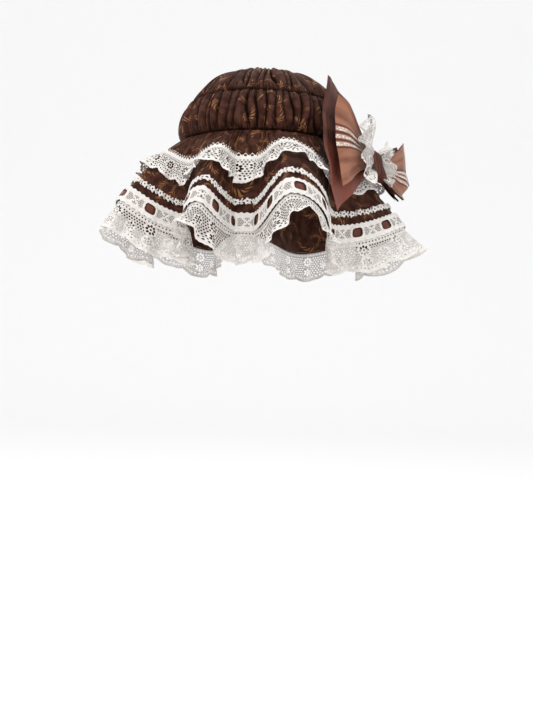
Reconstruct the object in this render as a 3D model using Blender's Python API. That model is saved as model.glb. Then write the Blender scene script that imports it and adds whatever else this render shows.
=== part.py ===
"""A ruffled mob cap of brown cloth with lace trims and a satin bow on its side, at its real size.

Metres, +Z up. The origin is the middle of the head opening, on the shirred line where the brim
starts. The front of the cap faces -Y. An azimuth runs from the front towards +X, in degrees.
"""

import math
from typing import NamedTuple

import bpy
import numpy as np
from mathutils import Vector
from mathutils.bvhtree import BVHTree

# Clear space between two pieces that lie on each other
GAP = 0.0005

# Head opening and crown
RIM_HALF_WIDTH = 0.079
RIM_HALF_DEPTH = 0.090
CROWN_HALF_WIDTH = 0.0815
CROWN_HALF_DEPTH = 0.092
CROWN_HEIGHT = 0.074
CROWN_WIDEST_HEIGHT = 0.009
CROWN_WALL = 0.002
CROWN_PUFF = 0.002
PLEAT_DEPTH = 0.0022
PLEATS = 25

# Brim
BRIM_LENGTH = 0.102
BRIM_WALL = 0.0015
BRIM_COLUMNS = 108
FIRST_COLUMN = 9.5

# Trims laid on the brim, from the hem upwards
BEADING_WIDTH = 0.017
BEADING_BORDER = 0.0038
BEADING_WALL = 0.001
COLUMNS_PER_SLOT = 3
RIBBON_WALL = 0.0006
BRAID_SPACE = 0.0055
BRAID_WIDTH = 0.009
BRAID_WALL = 0.0015

# Lace frills
LACE_WALL = 0.001
LACE_WIDTH = 0.031
LACE_BEND = 0.012
LACE_SCALLOPS = 36
LACE_SCALLOP_DEPTH = 0.005
LACE_RIPPLE = 0.0035
FRILL_SEAM = 0.036
FRILL_HEADING = 0.006
FRILL_WIDTH = 0.024
FRILL_STAND = 4.0
FRILL_SCALLOP_DEPTH = 0.004
FRILL_RIPPLE = 0.0012
LACE_ROW_SHARES = (0.0, 0.4, 1.0)

# Bow
BOW_AZIMUTH = 53.0
BOW_LEAN = 12.0
BOW_TILT = 12.0
BOW_CENTRE = (0.0960, -0.042, -0.0235)
BOW_SPACING = 0.0018
PINCH_SPACING = 0.0006
BOW_CORNER = 0.13
SATIN_WALL = 0.001
BACK_BOW_REACH = 0.074
BACK_BOW_REAR_REACH = 0.066
BACK_BOW_HEIGHT = 0.138
BACK_BOW_REAR_HEIGHT = 0.090
BACK_BOW_DEPTH = 0.008
FRONT_BOW_REACH = 0.066
FRONT_BOW_REAR_REACH = 0.060
FRONT_BOW_HEIGHT = 0.088
FRONT_BOW_REAR_HEIGHT = 0.079
FRONT_BOW_DEPTH = 0.007
LACE_BOW_REACH = 0.030
LACE_BOW_REAR_REACH = 0.028
LACE_BOW_HEIGHT = 0.066
LACE_BOW_REAR_HEIGHT = 0.060
LACE_BOW_DEPTH = 0.003
PINCH_HEIGHT = 0.024
KNOT_WIDTH = 0.018
KNOT_WALL = 0.0012
KNOT_PUFF = 0.0025
KNOT_ROUND = 0.5
SEAT_STEP = 0.003
SEAT_EASE = 2
SEAT_LIFT = 0.0002

# The folds of the brim, going round from the back on the left. Each droop is an angle below the
# level, in degrees: of the cloth at the rim, at the hem, and of the lace that hangs from the hem.
# A low droop is a ridge and a high one is a valley. The length is a share of BRIM_LENGTH.
BRIM_FOLDS = np.array(
    [
        (-172, 20, 58, 52, 1.00),
        (-148, 46, 92, 88, 1.00),
        (-124, 20, 58, 52, 1.00),
        (-92, 44, 90, 88, 0.98),
        (-60, 26, 54, 54, 0.97),
        (-43, 46, 98, 98, 0.98),
        (-21, 28, 60, 37, 1.00),
        (-14, 46, 98, 105, 0.98),
        (-4, 46, 98, 105, 0.98),
        (9, 16, 58, 24, 1.00),
        (44, 56, 98, 88, 1.00),
        (78, 52, 51, 44, 0.98),
        (99, 52, 94, 88, 1.00),
        (128, 22, 58, 52, 1.00),
        (154, 46, 92, 88, 1.00),
    ],
    dtype=[
        ("azimuth", float),
        ("rim_droop", float),
        ("hem_droop", float),
        ("lace_droop", float),
        ("length", float),
    ],
)

# The crown's sections from its top down: the angle round the dome, and how far the cloth puffs out
# between the shirred lines, as a share of CROWN_PUFF. The lines themselves have a pleat share of 0.
CROWN_SECTIONS = np.array(
    [
        (9, 0.2, 0.6),
        (22, -1.0, 0.0),
        (42, 1.0, 1.0),
        (62, -1.0, 0.0),
        (71, 1.0, 1.0),
        (81, 1.3, 1.0),
        (92, 1.0, 1.0),
        (100, 0.0, 0.0),
    ],
    dtype=[("angle", float), ("puff", float), ("pleat", float)],
)

# One loop of a bow, from the knot out to the fold at its end: the share of the reach, the share of
# the way from the pinched height to the full height, the share of the loop's depth, and the share
# of the way from the pinched spacing of two bows to their full spacing.
LOOP_SECTIONS = np.array(
    [
        (0.00, 0.00, 0.16, 0.0),
        (0.16, 0.06, 0.30, 0.4),
        (0.36, 0.28, 0.80, 1.0),
        (0.62, 0.60, 1.00, 1.0),
        (0.86, 0.88, 0.80, 1.0),
        (1.00, 1.00, 0.00, 1.0),
    ],
    dtype=[("reach", float), ("height", float), ("depth", float), ("spacing", float)],
)
LOOP_WIDTH_SHARES = (1.0, 0.62, 0.22, -0.22, -0.62, -1.0)

# The knot's points up its face, as shares of half its height
KNOT_SHARES = (-1.0, -0.5, 0.0, 0.5, 1.0)


class Bow(NamedTuple):
    """The sizes of one bow: its two reaches from the knot, its two heights and its loops' depth."""

    reach: float
    rear_reach: float
    height: float
    rear_height: float
    depth: float

    def share(self, along):
        """How far along its loop a point is, from 0 at the knot to 1 at the fold."""
        reach = np.where(along > 0.0, self.rear_reach, self.reach)
        return np.minimum(np.abs(along) / reach, 1.0)

    def depth_at(self, along):
        """How far apart the two layers stand."""
        return self.depth * np.interp(self.share(along), LOOP_SECTIONS["reach"], LOOP_SECTIONS["depth"])

    def height_at(self, along):
        """How high the ribbon is."""
        rise = np.interp(self.share(along), LOOP_SECTIONS["reach"], LOOP_SECTIONS["height"])
        full = np.where(along > 0.0, self.rear_height, self.height)
        return PINCH_HEIGHT + (full - PINCH_HEIGHT) * rise

    def spacing_at(self, along):
        """How far the next bow stands off this one."""
        open_share = np.interp(self.share(along), LOOP_SECTIONS["reach"], LOOP_SECTIONS["spacing"])
        return PINCH_SPACING + (BOW_SPACING - PINCH_SPACING) * open_share


def clear_scene():
    """Removes every object that the file starts with."""
    for obj in list(bpy.data.objects):
        bpy.data.objects.remove(obj)


def finish_material(name, colour, roughness, metallic=0.0):
    """A Principled material of one colour."""
    material = bpy.data.materials.new(name)
    material.use_nodes = True
    shader = material.node_tree.nodes["Principled BSDF"]
    shader.inputs["Base Color"].default_value = (*colour, 1.0)
    shader.inputs["Roughness"].default_value = roughness
    shader.inputs["Metallic"].default_value = metallic
    return material


def fold_value(table, column, azimuths):
    """A column of a fold table at any azimuth in degrees, eased from each row to the next."""
    knots = np.concatenate([table["azimuth"] + turn for turn in (-360.0, 0.0, 360.0)])
    values = np.tile(table[column], 3)
    wrapped = (np.asarray(azimuths, float) + 180.0) % 360.0 - 180.0
    before = np.searchsorted(knots, wrapped, side="right") - 1
    share = (wrapped - knots[before]) / (knots[before + 1] - knots[before])
    eased = (1.0 - np.cos(np.pi * share)) / 2.0
    return values[before] + (values[before + 1] - values[before]) * eased


def rim_frame(azimuths):
    """Points on the rim's ellipse, and the level directions that lead straight out from it."""
    angle = np.radians(azimuths)
    level = np.zeros_like(angle)
    points = np.stack([RIM_HALF_WIDTH * np.sin(angle), -RIM_HALF_DEPTH * np.cos(angle), level], -1)
    outward = np.stack([np.sin(angle) / RIM_HALF_WIDTH, -np.cos(angle) / RIM_HALF_DEPTH, level], -1)
    return points, outward / np.linalg.norm(outward, axis=-1, keepdims=True)


def brim_points(azimuths, along):
    """The middle of the brim's cloth at a distance along it from the rim.

    Past the hem it is the lace, which turns to its own droop within LACE_BEND.
    """
    steps = 80
    points, outward = rim_frame(azimuths)
    rim_droop = fold_value(BRIM_FOLDS, "rim_droop", azimuths)
    hem_droop = fold_value(BRIM_FOLDS, "hem_droop", azimuths)
    lace_droop = fold_value(BRIM_FOLDS, "lace_droop", azimuths)
    length = fold_value(BRIM_FOLDS, "length", azimuths)
    along = np.broadcast_to(along, np.shape(azimuths))
    travel = (np.arange(steps)[:, None] + 0.5) / steps * along
    share = np.clip(travel / BRIM_LENGTH, 0.0, 1.0)
    droop = rim_droop + (hem_droop - rim_droop) * np.sin(share * np.pi / 2.0)
    turn = np.clip((travel - BRIM_LENGTH) / LACE_BEND, 0.0, 1.0)
    droop = np.radians(droop + (lace_droop - droop) * turn * turn * (3.0 - 2.0 * turn))
    out = (np.cos(droop).mean(axis=0) * along * length)[..., None]
    down = np.sin(droop).mean(axis=0) * along * length
    moved = points + outward * out
    moved[..., 2] -= down
    return moved


def even_azimuths(count, along):
    """Azimuths in degrees that divide the cloth evenly at that distance along the brim."""
    fine = np.linspace(FIRST_COLUMN, FIRST_COLUMN + 360.0, 1441)
    line = brim_points(fine, along)
    walked = np.concatenate([[0.0], np.cumsum(np.linalg.norm(np.diff(line, axis=0), axis=1))])
    return np.interp(np.arange(count) / count * walked[-1], walked, fine)


def grid_normals(rows):
    """Unit normals of a grid of points, rows by columns, that closes round its columns."""
    across = np.gradient(rows, axis=0)
    around = np.roll(rows, -1, axis=1) - np.roll(rows, 1, axis=1)
    normals = np.cross(across, around)
    return normals / np.linalg.norm(normals, axis=-1, keepdims=True)


def add_solid(name, points, faces, material):
    """Adds a mesh object with smooth faces and sharp edges."""
    mesh = bpy.data.meshes.new(name)
    mesh.from_pydata([tuple(point) for point in points], [], faces)
    mesh.validate()
    mesh.shade_smooth()
    mesh.set_sharp_from_angle(angle=math.radians(50))
    mesh.materials.append(material)
    obj = bpy.data.objects.new(name, mesh)
    bpy.context.scene.collection.objects.link(obj)
    return obj


def ring_wall(name, rows, lift, wall, material, holes=(), capped=False, normals=None):
    """A closed wall round a ring.

    rows is a grid of points that runs from the top or middle of the piece to its outer edge, and
    lift is how far the wall's inner face stands off them. holes names (band, column) cells that
    are cut through, and capped closes the first row over its middle.
    """
    count_rows, count = rows.shape[:2]
    normals = grid_normals(rows) if normals is None else normals
    outer = rows + normals * (lift + wall)
    inner = rows + normals * lift
    points = np.concatenate([outer.reshape(-1, 3), inner.reshape(-1, 3)])
    start_inner = count_rows * count
    faces = []

    def quad(a, b, c, d):
        faces.extend([(a, b, c), (a, c, d)])

    def corner(row, column, side):
        return side * start_inner + row * count + column % count

    holes = set(holes)
    for band in range(count_rows - 1):
        for column in range(count):
            if (band, column) in holes:
                continue
            cell = [(band, column), (band + 1, column), (band + 1, column + 1), (band, column + 1)]
            quad(*(corner(row, col, 0) for row, col in cell))
            a, b, c, d = (corner(row, col, 1) for row, col in cell)
            faces.extend([(a, c, b), (a, d, c)])
    for band, column in holes:
        cell = [(band, column), (band, column + 1), (band + 1, column + 1), (band + 1, column)]
        for (row, col), (next_row, next_col) in zip(cell, cell[1:] + cell[:1]):
            quad(
                corner(row, col, 0),
                corner(row, col, 1),
                corner(next_row, next_col, 1),
                corner(next_row, next_col, 0),
            )
    last = count_rows - 1
    for column in range(count):
        quad(
            corner(last, column, 0),
            corner(last, column, 1),
            corner(last, column + 1, 1),
            corner(last, column + 1, 0),
        )
        if not capped:
            quad(
                corner(0, column + 1, 0),
                corner(0, column + 1, 1),
                corner(0, column, 1),
                corner(0, column, 0),
            )
    if capped:
        middles = np.stack([outer[0].mean(axis=0), inner[0].mean(axis=0)])
        points = np.concatenate([points, middles])
        top, under = len(points) - 2, len(points) - 1
        for column in range(count):
            faces.append((top, corner(0, column, 0), corner(0, column + 1, 0)))
            faces.append((under, corner(0, column + 1, 1), corner(0, column, 1)))
    return add_solid(name, points, faces, material)


def crown_points(azimuths, section_angle):
    """The crown's smooth form: a dome down to its widest, then a tuck in to the rim."""
    angle = np.radians(azimuths)
    turn = math.radians(min(section_angle, 90.0))
    half_width, half_depth = CROWN_HALF_WIDTH * math.sin(turn), CROWN_HALF_DEPTH * math.sin(turn)
    height = CROWN_WIDEST_HEIGHT + (CROWN_HEIGHT - CROWN_WIDEST_HEIGHT) * math.cos(turn)
    if section_angle > 90.0:
        tuck = (section_angle - 90.0) / (CROWN_SECTIONS["angle"][-1] - 90.0)
        lowest = BRIM_WALL / 2.0 + GAP
        height += (lowest - height) * tuck
        half_width += (RIM_HALF_WIDTH - half_width) * tuck
        half_depth += (RIM_HALF_DEPTH - half_depth) * tuck
    return np.stack(
        [half_width * np.sin(angle), -half_depth * np.cos(angle), np.full_like(angle, height)], -1
    )


def make_crown(cloth):
    """The gathered crown: pleats run down it and die out on the shirred lines."""
    azimuths = np.arange(2 * PLEATS) * 180.0 / PLEATS
    rows = np.array([crown_points(azimuths, angle) for angle in CROWN_SECTIONS["angle"]])
    normals = grid_normals(rows)
    side = np.where(np.arange(2 * PLEATS) % 2 == 0, 1.0, -1.0)
    push = CROWN_SECTIONS["puff"][:, None] * CROWN_PUFF
    room = np.sin(np.radians(np.minimum(CROWN_SECTIONS["angle"], 90.0)))[:, None]
    push = push + CROWN_SECTIONS["pleat"][:, None] * room * PLEAT_DEPTH * side
    ring_wall(
        "crown", rows + normals * push[..., None], -CROWN_WALL, CROWN_WALL, cloth,
        capped=True, normals=normals,
    )


def trim_rows(azimuths, edges, shares):
    """Rows of a trim that lies flat on the brim between two rows of the brim's own grid."""
    top, bottom = (brim_points(azimuths, edge) for edge in edges)
    return np.array([top + (bottom - top) * share for share in shares])


def trim_normals(azimuths, edges, shares):
    """Normals for trim_rows, eased between those of the brim's two rows."""
    lines = np.array([brim_points(azimuths, edge) for edge in brim_edges()])
    normals = grid_normals(lines)
    top, bottom = (normals[brim_edges().index(edge)] for edge in edges)
    return np.array([top + (bottom - top) * share for share in shares])


def brim_edges():
    """Distances along the brim of its rows, which the trims and the frill share."""
    beading_top = BRIM_LENGTH - BEADING_WIDTH
    braid_top = beading_top - BRAID_SPACE - BRAID_WIDTH
    heading = FRILL_SEAM - FRILL_HEADING
    return [0.0, heading, (heading + braid_top) / 2.0, braid_top, beading_top, BRIM_LENGTH]


def make_brim_and_trims(azimuths, cloth, satin, lace):
    """The brim, and the braid, ribbon and beading lace that are sewn on it."""
    edges = brim_edges()
    braid_edges, beading_edges = edges[3:5], edges[4:6]
    rows = np.array([brim_points(azimuths, edge) for edge in edges])
    ring_wall("brim", rows, -BRIM_WALL / 2.0, BRIM_WALL, cloth)

    surface = BRIM_WALL / 2.0 + GAP
    shares = (0.0, BRAID_WIDTH / (BRAID_WIDTH + BRAID_SPACE))
    ring_wall(
        "flower_braid", trim_rows(azimuths, braid_edges, shares), surface, BRAID_WALL, lace,
        normals=trim_normals(azimuths, braid_edges, shares),
    )
    border = BEADING_BORDER / BEADING_WIDTH
    shares = (border, 1.0 - border)
    ring_wall(
        "beading_ribbon", trim_rows(azimuths, beading_edges, shares), surface, RIBBON_WALL, satin,
        normals=trim_normals(azimuths, beading_edges, shares),
    )
    shares = (0.0, border, 1.0 - border, 1.0)
    slots = [(1, column) for column in range(0, len(azimuths), COLUMNS_PER_SLOT)]
    ring_wall(
        "beading_lace", trim_rows(azimuths, beading_edges, shares),
        surface + RIBBON_WALL + GAP, BEADING_WALL, lace, holes=slots,
        normals=trim_normals(azimuths, beading_edges, shares),
    )


def scallop(count, waves):
    """How far up each column's edge is cut for the scallops, from 0 at a tip to 1 between two."""
    turn = np.arange(count) / count * waves
    return 1.0 - np.abs(np.sin(np.pi * (turn + 0.5 * waves / count)))


def ripple(count, waves):
    """A wave round the ring, from -1 to 1."""
    return np.sin(2.0 * np.pi * np.arange(count) / count * waves)


def make_lower_lace(azimuths, lace):
    """The wide lace that hangs from the hem in small ripples, with a scalloped edge."""
    count = len(azimuths)
    start = BRIM_LENGTH + 2.0 * GAP
    cut = LACE_SCALLOP_DEPTH * scallop(count, LACE_SCALLOPS)
    rows, push = [], []
    for share in LACE_ROW_SHARES:
        along = start + (LACE_WIDTH - cut * share) * share
        rows.append(brim_points(azimuths, along))
        push.append(LACE_RIPPLE * share * ripple(count, LACE_SCALLOPS))
    rows = np.array(rows)
    normals = grid_normals(rows)
    rows = rows + normals * np.array(push)[..., None]
    ring_wall("lower_lace", rows, -LACE_WALL / 2.0, LACE_WALL, lace, normals=normals)


def make_upper_lace(azimuths, lace):
    """The narrow lace frill, sewn round the top of the brim below its own small heading."""
    count = len(azimuths)
    heading, middle = brim_edges()[1:3]
    cut = FRILL_SCALLOP_DEPTH * scallop(count, LACE_SCALLOPS)
    lines = (np.full(count, heading), np.full(count, middle), FRILL_SEAM + FRILL_WIDTH - cut)
    rows = np.array([brim_points(azimuths, along) for along in lines])
    wave = 1.0 + ripple(count, LACE_SCALLOPS)
    slope = math.tan(math.radians(FRILL_STAND)) + FRILL_RIPPLE / FRILL_WIDTH * wave
    stands = np.array([BRIM_WALL / 2.0 + GAP + np.abs(along - FRILL_SEAM) * slope for along in lines])
    normals = grid_normals(rows)
    ring_wall(
        "upper_lace", rows + normals * stands[..., None], 0.0, LACE_WALL, lace, normals=normals
    )


def bow_axes():
    """The bow's own directions: along it towards the rear loop, up it, and out from the cap."""
    turn, lean, tilt = (math.radians(angle) for angle in (BOW_AZIMUTH, BOW_LEAN, BOW_TILT))
    level = np.array([math.cos(turn), math.sin(turn), 0.0])
    out = np.array([math.sin(turn) * math.cos(lean), -math.cos(turn) * math.cos(lean), math.sin(lean)])
    rise = np.cross(out, level)
    along = level * math.cos(tilt) - rise * math.sin(tilt)
    return along, np.cross(out, along), out


def place_in_bow(local):
    """World points from (along, up, out) points of the bow."""
    along, up, out = bow_axes()
    return np.array(BOW_CENTRE) + local[..., :1] * along + local[..., 1:2] * up + local[..., 2:] * out


def seat_map():
    """How far out from the bow's plane it must stand to lie on the cap, on a square grid.

    The highest of the near values, then their mean, gives a smooth cover that touches nothing.
    """
    along, up, out = bow_axes()
    points, faces = [], []
    for obj in bpy.data.objects:
        start = len(points)
        points += [vertex.co for vertex in obj.data.vertices]
        faces += [[start + index for index in face.vertices] for face in obj.data.polygons]
    cap = BVHTree.FromPolygons(points, faces)
    ease = SEAT_STEP * SEAT_EASE
    half = int(math.ceil((max(BACK_BOW_REACH, BACK_BOW_HEIGHT) + 2.0 * ease) / SEAT_STEP))
    places = np.arange(-half, half + 1) * SEAT_STEP
    start = 2.0 * BACK_BOW_REACH
    stand = np.zeros((len(places), len(places)))
    for row, across in enumerate(places):
        for column, rise in enumerate(places):
            origin = np.array(BOW_CENTRE) + along * across + up * rise + out * start
            distance = cap.ray_cast(Vector(origin), Vector(-out), start + BACK_BOW_DEPTH)[3]
            stand[row, column] = 0.0 if distance is None else max(start - distance, 0.0)
    for combine in (np.max, np.mean):
        shifts = range(-SEAT_EASE, SEAT_EASE + 1)
        moved = [np.roll(stand, (shift, slide), (0, 1)) for shift in shifts for slide in shifts]
        stand = combine(np.array(moved), axis=0)
    return places, stand + SEAT_LIFT


def seat_at(seat, along, up):
    """The seat map's value between its grid points."""
    places, stand = seat
    row = (along - places[0]) / SEAT_STEP
    column = (up - places[0]) / SEAT_STEP
    low_row, low_column = np.floor(row).astype(int), np.floor(column).astype(int)
    row, column = row - low_row, column - low_column
    near = stand[low_row, low_column] * (1 - column) + stand[low_row, low_column + 1] * column
    far = stand[low_row + 1, low_column] * (1 - column) + stand[low_row + 1, low_column + 1] * column
    return near * (1 - row) + far * row


def stack_height(along, below):
    """How far a bow's back layer lies over the seat, with the knot's band and other bows below."""
    height = KNOT_WALL + GAP + SATIN_WALL / 2.0
    for bow in below:
        height = height + bow.depth_at(along) + SATIN_WALL + bow.spacing_at(along)
    return height


def bow_band(name, bow, below, seat, material, wall):
    """A closed band of ribbon pinched at its middle, which makes two loops."""
    shares = LOOP_SECTIONS["reach"]
    back = np.concatenate([-shares[:0:-1] * bow.reach, shares * bow.rear_reach])
    path = np.concatenate([back, back[-2:0:-1]])
    on_front = np.arange(len(path)) >= len(back)
    rows = []
    for width_share in LOOP_WIDTH_SHARES:
        up = width_share * bow.height_at(path) / 2.0
        along = path * (1.0 - BOW_CORNER * width_share**2 * bow.share(path))
        out = stack_height(along, below) + on_front * bow.depth_at(path) + seat_at(seat, along, up)
        rows.append(np.stack([along, up, out], -1))
    ring_wall(name, place_in_bow(np.array(rows)), -wall / 2.0, wall, material)


def make_knot(bows, seat, satin):
    """The satin band that wraps the pinched middles of the bows."""
    edge = KNOT_WIDTH / 2.0
    half_up = max(bow.height_at(-edge) for bow in bows) / 2.0 + SATIN_WALL + GAP
    path = np.array(KNOT_SHARES + KNOT_SHARES[::-1]) * half_up
    on_front = np.arange(len(path)) >= len(KNOT_SHARES)
    rows = []
    for share in (1.0, 0.0, -1.0):
        along = np.full(len(path), share * edge)
        puff = KNOT_PUFF * (1.0 - KNOT_ROUND * abs(share))
        out = on_front * (stack_height(-edge, bows) + GAP + puff)
        rows.append(np.stack([along, path, out + seat_at(seat, along, path)], -1))
    ring_wall("bow_knot", place_in_bow(np.array(rows)), 0.0, KNOT_WALL, satin)


def make_bow(dark_satin, pale_satin, lace):
    """The two satin bows, the lace on them and the knot, stacked outwards from the cap."""
    seat = seat_map()
    back = Bow(
        BACK_BOW_REACH, BACK_BOW_REAR_REACH, BACK_BOW_HEIGHT, BACK_BOW_REAR_HEIGHT, BACK_BOW_DEPTH
    )
    front = Bow(
        FRONT_BOW_REACH, FRONT_BOW_REAR_REACH, FRONT_BOW_HEIGHT, FRONT_BOW_REAR_HEIGHT,
        FRONT_BOW_DEPTH,
    )
    frill = Bow(
        LACE_BOW_REACH, LACE_BOW_REAR_REACH, LACE_BOW_HEIGHT, LACE_BOW_REAR_HEIGHT, LACE_BOW_DEPTH
    )
    bow_band("bow_back", back, [], seat, dark_satin, SATIN_WALL)
    bow_band("bow_front", front, [back], seat, pale_satin, SATIN_WALL)
    bow_band("bow_lace", frill, [back, front], seat, lace, LACE_WALL)
    make_knot((back, front, frill), seat, dark_satin)


def main():
    """Builds the whole cap."""
    clear_scene()
    cloth = finish_material("brown_jacquard", (0.075, 0.030, 0.020), 0.65)
    satin = finish_material("ribbon_satin", (0.110, 0.035, 0.022), 0.35)
    dark_satin = finish_material("dark_satin", (0.120, 0.040, 0.026), 0.35)
    pale_satin = finish_material("pale_satin", (0.420, 0.200, 0.120), 0.35)
    lace = finish_material("ivory_lace", (0.860, 0.820, 0.780), 0.80)
    azimuths = even_azimuths(BRIM_COLUMNS, BRIM_LENGTH - BEADING_WIDTH / 2.0)
    make_crown(cloth)
    make_brim_and_trims(azimuths, cloth, satin, lace)
    make_lower_lace(azimuths, lace)
    make_upper_lace(azimuths, lace)
    make_bow(dark_satin, pale_satin, lace)


main()
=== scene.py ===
"""Dresses a ruffled mob cap: gathered jacquard, pierced lace, ribbon beading and a satin bow.

Metres, +Z up. The front of the cap faces -Y, and an azimuth runs from the front towards +X, in
degrees. Every cloth is a grid of points, with its rows across the cloth and its columns along it.
"""

import logging
import math
from dataclasses import dataclass, field
from enum import Enum

import bpy
import numpy as np
from mathutils import Matrix, Vector
from mathutils.bvhtree import BVHTree


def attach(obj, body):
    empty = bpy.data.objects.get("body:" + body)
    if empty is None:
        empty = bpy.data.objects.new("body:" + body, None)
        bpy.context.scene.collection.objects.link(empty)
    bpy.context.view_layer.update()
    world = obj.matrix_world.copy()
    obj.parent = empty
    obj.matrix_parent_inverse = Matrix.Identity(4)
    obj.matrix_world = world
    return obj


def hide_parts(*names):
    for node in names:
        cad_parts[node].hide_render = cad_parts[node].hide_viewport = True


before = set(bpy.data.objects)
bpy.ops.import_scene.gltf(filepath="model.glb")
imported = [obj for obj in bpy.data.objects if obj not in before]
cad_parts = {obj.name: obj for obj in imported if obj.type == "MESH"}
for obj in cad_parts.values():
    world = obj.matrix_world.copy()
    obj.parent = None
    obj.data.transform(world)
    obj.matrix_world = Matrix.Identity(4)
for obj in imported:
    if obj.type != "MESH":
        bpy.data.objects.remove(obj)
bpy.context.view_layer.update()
LOG = logging.getLogger("mob_cap")
Array = np.ndarray
Material = bpy.types.Material
Object = bpy.types.Object
Socket = bpy.types.NodeSocket
Colour = tuple[float, float, float, float]

# Smaller differences than this count as none
TINY = 1e-12

# The least that a cloth's level is off zero, so that no crossing falls on a grid point
LEAST_LEVEL = 1e-7

# How near a crossing comes to a grid point, as a share of the cell's side
CORNER_MARGIN = 0.04

# The outline of the cloth in a grid cell, by which of its corners are cloth. Corners 0 to 3 run
# round the cell, and 4 to 7 are the crossings on the edges between them.
CELL_OUTLINES = {
    1: (0, 7, 4),
    2: (4, 5, 1),
    3: (0, 7, 5, 1),
    4: (5, 6, 2),
    5: (0, 7, 6, 2, 5, 4),
    6: (4, 6, 2, 1),
    7: (0, 7, 6, 2, 1),
    8: (6, 7, 3),
    9: (0, 3, 6, 4),
    10: (4, 7, 3, 6, 5, 1),
    11: (0, 3, 6, 5, 1),
    12: (7, 3, 2, 5),
    13: (0, 3, 2, 5, 4),
    14: (4, 7, 3, 2, 1),
    15: (0, 3, 2, 1),
}


class Edge(Enum):
    """Whether a grid's last column is its first one again."""

    OPEN = "open"
    JOINED = "joined"


def ease(share: Array) -> Array:
    """Smooth step of a share from 0 to 1."""
    share = np.clip(share, 0.0, 1.0)
    return share * share * (3.0 - 2.0 * share)


def centred(value: Array, period: float) -> Array:
    """The value wrapped to half a period on either side of zero."""
    return (value + period / 2.0) % period - period / 2.0


def table(columns: str, rows: list[tuple[float, ...]]) -> Array:
    """A table with the named columns, and one row for each fold or section."""
    return np.array(rows, dtype=[(column, float) for column in columns.split()])


def walked(line: Array) -> Array:
    """The distance along a line of points to each of them."""
    return np.concatenate([[0.0], np.cumsum(np.linalg.norm(np.diff(line, axis=0), axis=1))])


def stand_off(smooth: Array, heights: Array) -> Array:
    """Moves a ring of cloth out along its normals.

    Args:
        smooth: The ring, rows by columns by 3, with its first column again as its last.
        heights: How far each point moves outwards.

    Returns:
        The moved points, with the ring closed.
    """
    across = np.gradient(smooth, axis=0)
    along = np.gradient(smooth, axis=1)
    along[:, 0] = along[:, -1] = (smooth[:, 1] - smooth[:, -2]) / 2.0
    normals = np.cross(across, along)
    normals = normals / np.maximum(np.linalg.norm(normals, axis=-1, keepdims=True), TINY)
    points = smooth + normals * heights[..., None]
    points[:, -1] = points[:, 0]
    return points


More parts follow.
